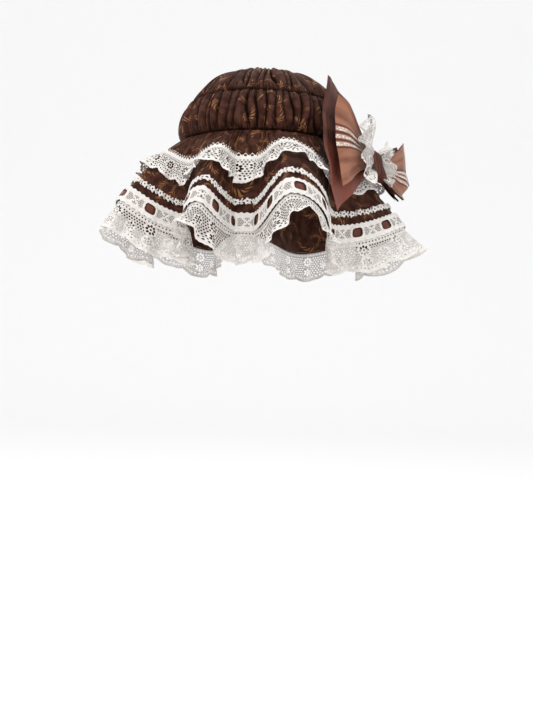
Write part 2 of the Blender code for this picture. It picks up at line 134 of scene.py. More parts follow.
@dataclass
class ClothGrid:
    """A sheet of cloth as a grid, which can be pierced.

    Attributes:
        points: Rows by columns by 3.
        along: Metres along the cloth at each point.
        across: Metres across the cloth at each point.
        edge: Whether the last column repeats the first.
        level: Cloth where it is above zero, or None for plain cloth.
        capped: Closes the first row over its middle.
        shade: How shaded the cloth is, 0 to 1, in creases and between threads.
    """

    points: Array
    along: Array
    across: Array
    edge: Edge = Edge.JOINED
    level: Array | None = None
    capped: bool = False
    shade: Array | float = 0.0

    def _values(self, level: Array) -> Array:
        """Works out what each point carries.

        Args:
            level: Cloth where it is above zero, rows by columns.

        Returns:
            Place, cloth coordinates and shade of each grid point, then of each crossing.
        """
        shade = np.clip(self.shade + 0.0 * self.along, 0.0, 1.0)
        marks = [mark.reshape(-1, 1) for mark in (self.along, self.across, shade)]
        values = np.concatenate([self.points.reshape(-1, 3), *marks], 1)
        node = np.arange(level.size).reshape(level.shape)
        level = level.ravel()
        sets = [values]
        for start, end in ((node[:, :-1], node[:, 1:]), (node[:-1], node[1:])):
            start, end = start.ravel(), end.ravel()
            step = level[start] - level[end]
            share = level[start] / np.where(np.abs(step) < TINY, 1.0, step)
            share = np.clip(share, CORNER_MARGIN, 1.0 - CORNER_MARGIN)[:, None]
            sets.append(values[start] * (1.0 - share) + values[end] * share)
        return np.concatenate(sets)

    def _faces(self, level: Array) -> tuple[Array, Array, Array]:
        """Finds the faces of the cloth.

        Args:
            level: Cloth where it is above zero, rows by columns.

        Returns:
            The point at each corner of each face, how many corners each face has, and for each
            point the one that it is the same as.
        """
        rows, columns = level.shape
        node = np.arange(level.size).reshape(rows, columns)
        level_edges = node.size + np.arange(rows * (columns - 1)).reshape(rows, columns - 1)
        upright_edges = level_edges.size + node.size + np.arange((rows - 1) * columns)
        upright_edges = upright_edges.reshape(rows - 1, columns)
        same = np.arange(node.size + level_edges.size + upright_edges.size)
        if self.edge is Edge.JOINED:
            same[node[:, -1]] = node[:, 0]
            same[upright_edges[:, -1]] = upright_edges[:, 0]
        corners = (
            node[:-1, :-1], node[:-1, 1:], node[1:, 1:], node[1:, :-1],
            level_edges[:-1], upright_edges[:, 1:], level_edges[1:], upright_edges[:, :-1],
        )
        inside = level > 0.0
        case = (
            inside[:-1, :-1] * 1 + inside[:-1, 1:] * 2 + inside[1:, 1:] * 4 + inside[1:, :-1] * 8
        )
        loops, sizes = [], []
        for kind, outline in CELL_OUTLINES.items():
            cells = np.stack([corners[corner][case == kind] for corner in outline], -1)
            loops.append(cells.ravel())
            sizes.append(np.full(len(cells), len(outline)))
        if self.capped:
            loops.append(node[0, : columns - 1])
            sizes.append(np.array([columns - 1]))
        return np.concatenate(loops), np.concatenate(sizes), same

    def build(self, name: str, material: Material) -> Object:
        """Makes the mesh object.

        Args:
            name: The piece's name.
            material: Its finish.

        Returns:
            The new object, with its cloth coordinates in a UV layer.
        """
        level = np.ones(self.along.shape) if self.level is None else self.level
        level = np.where(np.abs(level) < LEAST_LEVEL, LEAST_LEVEL, level)
        values = self._values(level)
        loops, sizes, same = self._faces(level)
        used, index = np.unique(same[loops], return_inverse=True)
        mesh = bpy.data.meshes.new(name)
        mesh.vertices.add(len(used))
        mesh.vertices.foreach_set("co", values[used, :3].ravel())
        mesh.loops.add(len(loops))
        mesh.loops.foreach_set("vertex_index", index.ravel().astype(np.int32))
        mesh.polygons.add(len(sizes))
        starts = np.concatenate([[0], np.cumsum(sizes)[:-1]])
        mesh.polygons.foreach_set("loop_start", starts.astype(np.int32))
        mesh.update(calc_edges=True)
        layer = mesh.uv_layers.new(name="cloth")
        layer.data.foreach_set("uv", values[loops, 3:5].ravel())
        shaded = mesh.attributes.new("shade", "FLOAT", "POINT")
        shaded.data.foreach_set("value", np.ascontiguousarray(values[used, 5], np.float32))
        mesh.shade_smooth()
        mesh.materials.append(material)
        piece = bpy.data.objects.new(name, mesh)
        bpy.context.scene.collection.objects.link(piece)
        return piece


@dataclass(frozen=True)
class Gathers:
    """Irregular folds of gathered cloth, from one sharp crease to the next.

    Attributes:
        folds: How many folds go round the piece.
        seed: Which irregular set of folds it is.
        wander: How far a crease drifts sideways, as a share of a fold.
        roundness: The power that shapes a fold, low for a full one.
        uneven: How far a crease is from its even place, as a share of a fold.
        least_full: The height of the slackest fold, as a share of the fullest one's.
        least_deep: The depth of the shallowest crease, as a share of the deepest one's.
        fading: How much a crease's depth changes down the cloth.
        cut: How deep the deepest crease is, next to the height of the fullest fold.
    """

    folds: int
    seed: int
    wander: float = 0.5
    roundness: float = 0.6
    uneven: float = 0.36
    least_full: float = 0.45
    least_deep: float = 0.42
    fading: float = 0.28
    cut: float = 1.3

    def height(self, turn: Array, down: Array) -> Array:
        """How high the cloth stands.

        Args:
            turn: Share of the way round, rows by columns.
            down: How far down the cloth each row is, one value for each row.

        Returns:
            About -1 in the deepest crease to 1 on the fullest fold.
        """
        chance = np.random.default_rng(self.seed)
        count = self.folds
        crease = (np.arange(count) + chance.uniform(-self.uneven, self.uneven, count)) / count
        full = chance.uniform(self.least_full, 1.0, count)
        deep = chance.uniform(self.least_deep, 1.0, count)
        rate, phase = chance.uniform(0.3, 1.5, (2, count)) * np.array([[1.0], [6.0]])
        drift = chance.uniform(0.0, 2.0 * np.pi, 4)
        down = down[:, None]
        moved = turn
        for wave, start in enumerate(drift):
            swing = np.sin(2.0 * np.pi * (wave + 2) * 3 * turn + down * (wave + 1) * 1.1 + start)
            moved = moved + self.wander / count * 0.4 * swing
        moved = moved % 1.0
        slot = np.searchsorted(crease, moved, side="right") - 1
        after = (slot + 1) % count
        left = crease[slot % count] - (slot < 0)
        width = (crease[after] - crease[slot % count]) % 1.0
        share = np.clip((moved - left) / width, 0.0, 1.0)
        round_top = np.sin(np.pi * share) ** self.roundness
        fade = (1.0 - self.fading) + self.fading * np.sin(rate[None, :] * down * 2.0 + phase[None, :])
        depth = deep[None, :] * fade
        line = np.arange(len(down))[:, None]
        low = depth[line, slot % count] * (1.0 - share) + depth[line, after] * share
        tall = full[slot % count] * np.clip(width * count, 0.4, 1.4)
        return round_top * tall * (0.35 + 0.65 * low) - self.cut * low * (1.0 - round_top)


class Nodes:
    """Builds a material's node tree, one node at a time."""

    def __init__(self, name: str) -> None:
        """Starts a Principled material.

        Args:
            name: The material's name.
        """
        self.material = bpy.data.materials.new(name)
        self.material.use_nodes = True
        self.tree = self.material.node_tree
        self.shader = self.tree.nodes["Principled BSDF"]

    def set(self, **sockets: float | tuple[float, ...]) -> None:
        """Sets the shader's own sockets, by their names with _ for a space."""
        for name, value in sockets.items():
            self.shader.inputs[name.replace("_", " ")].default_value = value

    def add(self, kind: str, inputs: dict | None = None, **settings: object) -> bpy.types.Node:
        """Adds a node.

        Args:
            kind: The node's type, without ShaderNode.
            inputs: Values or sockets by input name or number.
            settings: The node's own properties.

        Returns:
            The new node.
        """
        node = self.tree.nodes.new("ShaderNode" + kind)
        for key, value in settings.items():
            setattr(node, key, value)
        for key, value in (inputs or {}).items():
            if isinstance(value, Socket):
                self.tree.links.new(value, node.inputs[key])
            else:
                node.inputs[key].default_value = value
        return node

    def math(self, operation: str, *values: object) -> Socket:
        """The output of one Math node."""
        return self.add("Math", dict(enumerate(values)), operation=operation).outputs[0]

    def vector(self, operation: str, *values: object) -> Socket:
        """The output of one Vector Math node."""
        return self.add("VectorMath", dict(enumerate(values)), operation=operation).outputs[0]

    def step(self, value: object, low: float, high: float) -> Socket:
        """A smooth step of a value from low to high."""
        inputs = {"Value": value, "From Min": low, "From Max": high}
        return self.add("MapRange", inputs, interpolation_type="SMOOTHSTEP").outputs[0]

    def blend(self, share: object, first: object, second: object) -> Socket:
        """A mix of two colours."""
        return self.add("Mix", {0: share, 6: first, 7: second}, data_type="RGBA").outputs[2]
    def noise(self, vector: object, scale: float, detail: float) -> Socket:
        """The value of a soft noise, with its scale in waves per metre."""
        return self.add("TexNoise", {"Vector": vector, "Scale": scale, "Detail": detail}).outputs[0]

    def parts(self, vector: object) -> list[Socket]:
        """The three parts of a vector or a colour."""
        return list(self.add("SeparateXYZ", {0: vector}).outputs)

    def cloth(self) -> Socket:
        """The cloth's own coordinates, in metres along and across."""
        return self.add("UVMap", uv_map="cloth").outputs[0]

    def shade(self) -> Socket:
        """How shaded the cloth is, in creases and between threads."""
        return self.add("Attribute", attribute_name="shade").outputs["Fac"]

    def thread(self, cloth: object, along: float, across: float) -> Socket:
        """Woven threads.

        Args:
            cloth: The cloth's coordinates.
            along: The spacing of the threads along the cloth, in metres.
            across: Their spacing across it.

        Returns:
            The height of the weave, 0 to 1.
        """
        waves = []
        for part, spacing in zip(self.parts(cloth), (along, across)):
            angle = self.math("MULTIPLY", part, 2.0 * math.pi / spacing)
            waves.append(self.math("SINE", angle))
        product = self.math("MULTIPLY", waves[0], waves[1])
        return self.math("MULTIPLY_ADD", product, 0.5, 0.5)

    def finish(self, colour: object, roughness: object, height: object, depth: float) -> None:
        """Connects the surface.

        Args:
            colour: The base colour.
            roughness: The roughness.
            height: The height for the bump, 0 to 1.
            depth: How deep the bump is, in metres.
        """
        links = self.tree.links
        links.new(colour, self.shader.inputs["Base Color"])
        if isinstance(roughness, Socket):
            links.new(roughness, self.shader.inputs["Roughness"])
        else:
            self.shader.inputs["Roughness"].default_value = roughness
        bump = self.add("Bump", {"Height": height, "Distance": depth, "Strength": 1.0})
        links.new(bump.outputs[0], self.shader.inputs["Normal"])


@dataclass(frozen=True)
class JacquardFinish:
    """Dark brown jacquard with feathery copper scrolls woven into it, and painted shade in its creases.

    Attributes:
        ground: The ground's colour.
        shade: The darker cast that the ground has in places.
        figure: The scrolls' colour.
        crease: The painted shade deep in a crease.
        cell: The distance between scrolls, in metres.
        weave: The distance between threads, in metres.
        bend: How far the scrolls are bent out of true, in metres.
        wind: How many turns a scroll winds on its way out by one cell.
        barbs: How fast its barbs follow each other outwards, and round the scroll.
        specular: The strength and the tint of its sheen.
        relief: How deep its bump is, in metres.
    """

    ground: Colour = (0.074, 0.0280, 0.0190, 1.0)
    shade: Colour = (0.031, 0.0115, 0.0080, 1.0)
    figure: Colour = (0.330, 0.150, 0.064, 1.0)
    crease: Colour = (0.0030, 0.0011, 0.0009, 1.0)
    cell: float = 0.026
    weave: float = 0.0007
    bend: float = 0.012
    wind: float = 1.9
    barbs: tuple[float, float] = (46.0, 17.0)
    specular: tuple[float, Colour] = (0.12, (0.80, 0.50, 0.38, 1.0))
    relief: float = 0.00035

    def scrolls(self, nodes: Nodes, cloth: Socket) -> Socket:
        """The woven figure, a worn and barbed spiral in each cell.

        Args:
            nodes: The material's nodes.
            cloth: The cloth's coordinates.

        Returns:
            How much of the figure shows, 0 to 1.
        """
        bend = nodes.add("TexNoise", {"Vector": cloth, "Scale": 55.0, "Detail": 1.0})
        bend = nodes.vector("SUBTRACT", bend.outputs["Color"], (0.5, 0.5, 0.5))
        bend = nodes.vector("MULTIPLY", bend, (self.bend, self.bend, 0.0))
        warped = nodes.vector("ADD", cloth, bend)
        cells = nodes.add(
            "TexVoronoi", {"Vector": warped, "Scale": 1.0 / self.cell, "Randomness": 0.85},
            voronoi_dimensions="2D",
        )
        local = nodes.vector("SUBTRACT", warped, cells.outputs["Position"])
        local = nodes.vector("MULTIPLY", local, (1.0 / self.cell, 1.0 / self.cell, 0.0))
        x, y, _ = nodes.parts(local)
        squares = [nodes.math("MULTIPLY", part, part) for part in (x, y)]
        far = nodes.math("SQRT", nodes.math("ADD", *squares))
        angle = nodes.math("ARCTAN2", y, x)
        luck = nodes.parts(cells.outputs["Color"])[0]
        curl = nodes.math("MULTIPLY_ADD", angle, 1.0 / (2.0 * math.pi), luck)
        curl = nodes.math("FRACT", nodes.math("MULTIPLY_ADD", far, self.wind, curl))
        band = nodes.math("ABSOLUTE", nodes.math("SUBTRACT", curl, 0.5))
        band = nodes.step(band, 0.22, 0.10)
        outward, round_it = self.barbs
        barbs = nodes.math("MULTIPLY_ADD", far, outward, nodes.math("MULTIPLY", angle, round_it))
        barbs = nodes.step(nodes.math("SINE", barbs), -0.5, 0.4)
        reach = nodes.math("MULTIPLY", nodes.step(far, 0.62, 0.50), nodes.step(far, 0.06, 0.12))
        figure = nodes.math("MULTIPLY", nodes.math("MULTIPLY", band, barbs), reach)
        worn = nodes.step(nodes.noise(cloth, 48.0, 2.0), 0.36, 0.56)
        return nodes.math("MULTIPLY", figure, worn)

    def material(self) -> Material:
        """Makes the material.

        Returns:
            The new material.
        """
        nodes = Nodes("brown_jacquard")
        strength, tint = self.specular
        nodes.set(Specular_IOR_Level=strength, Specular_Tint=tint)
        cloth = nodes.cloth()
        figure = self.scrolls(nodes, cloth)
        cast = nodes.step(nodes.noise(cloth, 130.0, 3.0), 0.35, 0.65)
        ground = nodes.blend(cast, self.shade, self.ground)
        colour = nodes.blend(nodes.math("MULTIPLY", figure, 0.85), ground, self.figure)
        # Painted shade: the colour darkens towards the crease colour where the shade attribute marks
        # creases and seam lines
        deep = nodes.math("MULTIPLY", nodes.shade(), 0.9)
        colour = nodes.blend(deep, colour, self.crease)
        weave = nodes.thread(cloth, self.weave, self.weave)
        height = nodes.math("MULTIPLY_ADD", figure, 0.8, nodes.math("MULTIPLY", weave, 0.35))
        rough = nodes.math("MULTIPLY_ADD", figure, -0.12, 0.58)
        rough = nodes.math("MULTIPLY_ADD", deep, 0.42, rough)
        nodes.finish(colour, rough, height, self.relief)
        return nodes.material


@dataclass(frozen=True)
class LaceFinish:
    """Off-white cotton lace.

    Attributes:
        cotton: The thread's colour.
        shadow: The colour between the threads.
        net: The colour of the thin net, which lets its shadows through.
        thread: The distance between stitches, in metres.
        relief: How deep its bump is, in metres.
    """

    cotton: Colour = (0.860, 0.822, 0.786, 1.0)
    shadow: Colour = (0.660, 0.612, 0.575, 1.0)
    net: Colour = (0.470, 0.430, 0.402, 1.0)
    thread: float = 0.0008
    relief: float = 0.0004

    def material(self) -> Material:
        """Makes the material.

        Returns:
            The new material.
        """
        nodes = Nodes("ivory_lace")
        nodes.set(Sheen_Weight=0.1, Specular_IOR_Level=0.2)
        cloth = nodes.cloth()
        wave = nodes.noise(cloth, 260.0, 2.0)
        stitches = nodes.thread(cloth, self.thread, self.thread * 0.8)
        mixed = nodes.math("MULTIPLY_ADD", wave, 0.6, nodes.math("MULTIPLY", stitches, 0.4))
        colour = nodes.blend(nodes.step(mixed, 0.22, 0.62), self.shadow, self.cotton)
        colour = nodes.blend(nodes.shade(), colour, self.net)
        nodes.finish(colour, 0.85, mixed, self.relief)
        return nodes.material


@dataclass(frozen=True)
class SatinFinish:
    """Satin ribbon, with fine ribs along it and a deeper cast in places.

    Attributes:
        name: The material's name.
        light: Its colour.
        dark: The deeper cast.
        rib: The distance between its ribs, in metres.
        tint: The tint of its sheen.
        relief: How deep its bump is, in metres.
    """

    name: str
    light: Colour
    dark: Colour
    rib: float = 0.0006
    tint: Colour = (1.0, 0.62, 0.50, 1.0)
    relief: float = 0.0003

    def colours(self, nodes: Nodes, cloth: object) -> Socket:
        """Works out the ribbon's colour, cloudy along its length.

        Args:
            nodes: The material's nodes.
            cloth: The cloth's coordinates.

        Returns:
            The colour.
        """
        stretched = nodes.vector("MULTIPLY", cloth, (1.0, 3.0, 1.0))
        cloud = nodes.step(nodes.noise(stretched, 28.0, 3.0), 0.32, 0.62)
        return nodes.blend(cloud, self.dark, self.light)

    def material(self) -> Material:
        """Makes the material.

        Returns:
            The new material.
        """
        nodes = Nodes(self.name)
        nodes.set(Specular_IOR_Level=0.32, Specular_Tint=self.tint, Anisotropic=0.6)
        cloth = nodes.cloth()
        ribs = nodes.thread(cloth, self.rib * 3.0, self.rib)
        crinkle = nodes.math("MULTIPLY", nodes.noise(cloth, 160.0, 2.0), 0.7)
        height = nodes.math("MULTIPLY_ADD", ribs, 0.3, crinkle)
        nodes.finish(self.colours(nodes, cloth), 0.28, height, self.relief)
        return nodes.material


@dataclass(frozen=True)
class StripedSatinFinish(SatinFinish):
    """Tan satin with three narrow bands of white lace sewn along it, edged in brown.

    Attributes:
        stripes: The middles of the lace bands, in metres from the ribbon's upper edge.
        stripe_half: Half a lace band's width.
        line_half: Half the width of the brown lines between them.
        brown: The lines' colour.
        thread: The lace bands' colour.
        between: The colour between the lace bands' threads.
    """

    stripes: tuple[float, ...] = (0.0345, 0.0425, 0.0508)
    stripe_half: float = 0.0019
    line_half: float = 0.0010
    brown: Colour = (0.075, 0.024, 0.016, 1.0)
    thread: Colour = (0.80, 0.76, 0.72, 1.0)
    between: Colour = (0.42, 0.30, 0.24, 1.0)

    def band(self, nodes: Nodes, across: object, middle: float, half: float) -> Socket:
        """The share of one band that covers a point."""
        away = nodes.math("ABSOLUTE", nodes.math("SUBTRACT", across, middle))
        return nodes.step(away, half * 1.15, half * 0.85)

    def colours(self, nodes: Nodes, cloth: object) -> Socket:
        """Works out the tan ground with its white bands and brown lines.

        Args:
            nodes: The material's nodes.
            cloth: The cloth's coordinates.

        Returns:
            The colour.
        """
        colour = super().colours(nodes, cloth)
        across = nodes.parts(cloth)[1]
        gap = self.stripes[1] - self.stripes[0]
        for number in range(len(self.stripes) + 1):
            middle = self.stripes[0] + gap * (number - 0.5)
            colour = nodes.blend(self.band(nodes, across, middle, self.line_half), colour, self.brown)
        knots = nodes.add("TexVoronoi", {"Vector": cloth, "Scale": 700.0}).outputs["Distance"]
        lace = nodes.blend(nodes.step(knots, 0.25, 0.65), self.thread, self.between)
        for middle in self.stripes:
            colour = nodes.blend(self.band(nodes, across, middle, self.stripe_half), colour, lace)
        return colour


@dataclass(frozen=True)
class PaintedSheenSatinFinish(SatinFinish):
    """Dark satin with a painted highlight, a reddish-brown sheen, towards its lower edge.

    Attributes:
        painted_sheen: The painted highlight's reddish-brown colour towards the lower edge.
        turn: Where the painted highlight starts and ends to come in, in metres from the upper edge.
    """

    painted_sheen: Colour = (0.185, 0.052, 0.036, 1.0)
    turn: tuple[float, float] = (0.070, 0.112)

    def colours(self, nodes: Nodes, cloth: object) -> Socket:
        """The dark ground, with a painted reddish-brown highlight towards the lower edge."""
        colour = super().colours(nodes, cloth)
        # Painted highlight: a lit, reddish-brown sheen towards the ribbon's lower edge
        return nodes.blend(nodes.step(nodes.parts(cloth)[1], *self.turn), colour, self.painted_sheen)


def brim_folds() -> Array:
    """The brim's folds from the back on the left round to the back on the right.

    Returns:
        Azimuths, the droops of the cloth at the rim, the hem and in the lace, all in degrees, and
        the length as a share of the brim's length.
    """
    return table(
        "azimuth rim_droop hem_droop lace_droop length",
        [
            (-172, 20, 58, 52, 1.00),
            (-148, 46, 92, 88, 1.00),
            (-124, 20, 58, 52, 1.00),
            (-92, 44, 90, 88, 0.98),
            (-60, 26, 54, 54, 0.97),
            (-43, 46, 98, 98, 0.98),
            (-21, 28, 60, 37, 1.00),
            (-14, 46, 98, 105, 0.98),
            (-4, 46, 98, 105, 0.98),
            (9, 16, 58, 24, 1.00),
            (44, 56, 98, 88, 1.00),
            (78, 52, 51, 44, 0.98),
            (99, 52, 94, 88, 1.00),
            (128, 22, 58, 52, 1.00),
            (154, 46, 92, 88, 1.00),
        ],
    )


@dataclass(frozen=True)
class BrimForm:
    """The form that the brim and everything sewn to it follow.

    Attributes:
        rim_half_width: Half the head opening's width.
        rim_half_depth: Half its depth.
        length: The brim's length from the rim to the hem.
        lace_bend: The length in which the hem lace turns to its own droop.
        reach: How far the form is worked out, past the lace.
        steps: How many steps that takes.
        even_at: The distance along the brim at which its columns are evenly spaced.
        first_azimuth: The azimuth of the first repeat of the trims, in degrees.
        repeats: How many repeats of the trims go round.
        fine: How many azimuths its girth is measured through, to space the columns.
        folds: The table of folds.
    """

    rim_half_width: float = 0.079
    rim_half_depth: float = 0.090
    length: float = 0.102
    lace_bend: float = 0.012
    reach: float = 0.140
    steps: int = 200
    even_at: float = 0.0935
    first_azimuth: float = 9.5
    repeats: int = 36
    fine: int = 2880
    folds: Array = field(default_factory=brim_folds)

    def fold(self, column: str, azimuths: Array) -> Array:
        """Reads the table of folds between its rows.

        Args:
            column: The column's name.
            azimuths: Where it is read, in degrees.

        Returns:
            The values, eased from each row to the next.
        """
        knots = np.concatenate([self.folds["azimuth"] + turn for turn in (-360.0, 0.0, 360.0)])
        values = np.tile(self.folds[column], 3)
        wrapped = (azimuths + 180.0) % 360.0 - 180.0
        before = np.searchsorted(knots, wrapped, side="right") - 1
        share = (wrapped - knots[before]) / (knots[before + 1] - knots[before])
        eased = (1.0 - np.cos(np.pi * share)) / 2.0
        return values[before] + (values[before + 1] - values[before]) * eased

    def points(self, azimuths: Array, distances: Array) -> Array:
        """The middle of the brim's cloth, or of the lace past its hem.

        Args:
            azimuths: One azimuth for each column, in degrees.
            distances: Distances from the rim along the cloth, rows by columns.

        Returns:
            The points, rows by columns by 3.
        """
        step = self.reach / self.steps
        travel = (np.arange(self.steps)[:, None] + 0.5) * step
        share = np.clip(travel / self.length, 0.0, 1.0)
        rim, hem = self.fold("rim_droop", azimuths), self.fold("hem_droop", azimuths)
        droop = rim + (hem - rim) * np.sin(share * np.pi / 2.0)
        turn = ease((travel - self.length) / self.lace_bend)
        droop = np.radians(droop + (self.fold("lace_droop", azimuths) - droop) * turn)
        start = np.zeros((1, len(azimuths)))
        out = np.concatenate([start, np.cumsum(np.cos(droop), axis=0) * step])
        down = np.concatenate([start, np.cumsum(np.sin(droop), axis=0) * step])
        place = np.clip(distances / step, 0.0, self.steps - 1e-6)
        low = place.astype(int)
        share = place - low
        length = self.fold("length", azimuths)
        moves = []
        for total in (out, down):
            near = np.take_along_axis(total, low, 0)
            far = np.take_along_axis(total, low + 1, 0)
            moves.append((near + (far - near) * share) * length)
        angle = np.radians(azimuths)
        level = np.zeros_like(angle)
        sine, cosine = np.sin(angle), -np.cos(angle)
        rim = np.stack([self.rim_half_width * sine, self.rim_half_depth * cosine, level], -1)
        outward = np.stack([sine / self.rim_half_width, cosine / self.rim_half_depth, level], -1)
        outward /= np.linalg.norm(outward, axis=-1, keepdims=True)
        points = rim + outward * moves[0][..., None]
        points[..., 2] -= moves[1]
        return points

    def columns(self, count: int) -> tuple[Array, Array]:
        """Even columns round the cap, from the middle of the back.

        Args:
            count: How many columns there are, before the one that repeats the first.

        Returns:
            Azimuths in degrees, and shares of the way round, both with the repeated column.
        """
        fine = np.linspace(self.first_azimuth, self.first_azimuth + 360.0, self.fine + 1)
        line = self.points(fine, np.full((1, len(fine)), self.even_at))[0]
        reached = walked(line)
        share = np.arange(count + 1) / count
        place = (share + 0.5) % 1.0
        place[-1] = place[0]
        return np.interp(place * reached[-1], reached, fine), share

    def girth(self, distance: float) -> float:
        """Measures once round the brim.

        Args:
            distance: The distance from the rim along the cloth.

        Returns:
            The length of the cloth's line there, in metres.
        """
        azimuths, _ = self.columns(self.fine // 4)
        line = self.points(azimuths, np.full((1, len(azimuths)), distance))[0]
        return float(np.linalg.norm(np.diff(line, axis=0), axis=1).sum())


@dataclass
class GatheredCrown:
    """The crown: jacquard gathered on shirring lines, with folds that puff out between them.

    Attributes:
        half_width: Half its width at its widest.
        half_depth: Half its depth there.
        height: Its top above the rim.
        widest_height: The height at which it is widest.
        rim_half_width: Half the head opening's width.
        rim_half_depth: Half its depth.
        foot: The height at which it is sewn to the brim.
        turning: How far its edge hangs down inside the brim's rim.
        puff: How far the cloth puffs out between two lines.
        pleat: How high its folds stand.
        tuck: How high the small gathers along a seam line stand.
        groove: How deep a seam line is drawn in.
        lines: Where its seam lines are, in degrees down from the top. The last is its foot.
        gathers: The folds above each of them, from the top down.
        small: The small gathers along every line.
        near_line: How far from a line its small gathers reach, in degrees.
        in_line: Half the width of a line's groove, in degrees.
        flat: The width and length that it was cut to; it is not used.
        rows: How many points it has from its top to its foot.
        columns: How many it has round it.
        tucked_rows: How many of the rows lie below its widest.
    """

    half_width: float = 0.0815
    half_depth: float = 0.092
    height: float = 0.0735
    widest_height: float = 0.009
    rim_half_width: float = 0.079
    rim_half_depth: float = 0.090
    foot: float = 0.0006
    turning: float = 0.0025
    puff: float = 0.0024
    pleat: float = 0.0045
    tuck: float = 0.0012
    groove: float = 0.0014
    lines: tuple[float, ...] = (22.0, 62.0, 100.0)
    gathers: tuple[Gathers, ...] = (
        Gathers(32, 5, 0.3, 0.7), Gathers(46, 11, 0.35, 0.8), Gathers(58, 7, 0.35, 0.8),
    )
    small: Gathers = Gathers(150, 23, wander=0.2, roundness=1.0)
    near_line: float = 8.0
    in_line: float = 1.3
    flat: tuple[float, float] = (0.29, 0.29)
    rows: int = 112
    columns: int = 700
    tucked_rows: int = 14
    def smooth_form(self, angles: Array, turn: Array) -> Array:
        """The dome down to its widest, then a tuck in to the rim.

        Args:
            angles: How far down from the top each row is, in degrees.
            turn: Share of the way round of each column.

        Returns:
            The points, rows by columns by 3.
        """
        level = np.radians(np.minimum(angles, 90.0))[:, None]
        tuck = np.clip((angles - 90.0) / (self.lines[-1] - 90.0), 0.0, 1.0)[:, None]
        width = self.half_width * np.sin(level)
        depth = self.half_depth * np.sin(level)
        height = self.widest_height + (self.height - self.widest_height) * np.cos(level)
        width = width + (self.rim_half_width - width) * tuck
        depth = depth + (self.rim_half_depth - depth) * tuck
        height = height + (self.foot - height) * tuck
        azimuth = 2.0 * np.pi * (turn + 0.5)
        shape = width * np.sin(azimuth), -depth * np.cos(azimuth), height + 0.0 * azimuth
        return np.stack(shape, -1)

    def fold_heights(self, angles: Array, turn: Array) -> tuple[Array, Array]:
        """Works out the folds between the lines and the small gathers along them.

        Args:
            angles: How far down from the top each row is, in degrees.
            turn: Share of the way round of each column.

        Returns:
            How far each point stands off the smooth form, and how shaded it is.
        """
        turn = np.broadcast_to(turn, (len(angles), len(turn)))
        total, shade = np.zeros(turn.shape), np.zeros(turn.shape)
        starts = (0.0,) + self.lines
        for start, end, gathers in zip(starts, self.lines, self.gathers):
            share = (angles - start) / (end - start)
            inside = (share >= 0.0) & (share <= 1.0)
            arch = np.sin(np.pi * np.clip(share, 0.0, 1.0))
            if start == 0.0:
                arch = np.minimum(arch, np.clip(share, 0.0, 1.0))
            rise = np.where(inside, arch**0.55, 0.0)[:, None]
            heights = gathers.height(turn, angles / 34.0)
            total = total + rise * (self.puff * 0.75 + self.pleat * heights)
            shade = shade + ease(rise) * ease((0.10 - heights) / 0.60)
        near = np.min([np.abs(angles - line) for line in self.lines], axis=0)
        pinch = np.exp(-((near / self.near_line) ** 2))[:, None]
        fine = self.small.height(turn, angles / 20.0)
        total = total + self.tuck * pinch * fine
        shade = shade + pinch * ease(-fine / 0.5)
        groove = np.exp(-((near / self.in_line) ** 2))[:, None]
        shade = shade + 1.1 * groove
        room = np.sin(np.radians(np.minimum(angles, 90.0)))[:, None]
        # Creases are shallow towards the foot, so that no gap opens between crown and brim
        deepest = -0.0003 - 0.0009 * ease((self.lines[-1] - 1.0 - angles) / 5.0)[:, None]
        deepest = deepest - 0.005 * ease((84.0 - angles) / 24.0)[:, None]
        total = np.maximum(total - self.groove * groove, deepest)
        return total * np.clip(room * 2.2, 0.0, 1.0), shade

    def build(self, jacquard: Material) -> Object:
        """Makes the crown.

        Args:
            jacquard: Its cloth.

        Returns:
            The crown's object.
        """
        angles = np.concatenate([
            np.linspace(0.6, 90.0, self.rows - self.tucked_rows),
            np.linspace(90.9, self.lines[-1], self.tucked_rows),
        ])
        turn = np.arange(self.columns + 1) / self.columns
        smooth = self.smooth_form(angles, turn)
        heights, shade = self.fold_heights(angles, turn)
        points = stand_off(smooth, heights)
        points[-1, :, 2] -= self.turning
        across = walked(smooth[:, 0])[:, None] + 0.0 * turn
        along = 0.60 * turn[None, :] + 0.0 * across
        grid = ClothGrid(points, along, across, capped=True, shade=shade)
        crown = grid.build("gathered_crown", jacquard)
        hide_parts("crown")
        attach(crown, "root")
        return crown


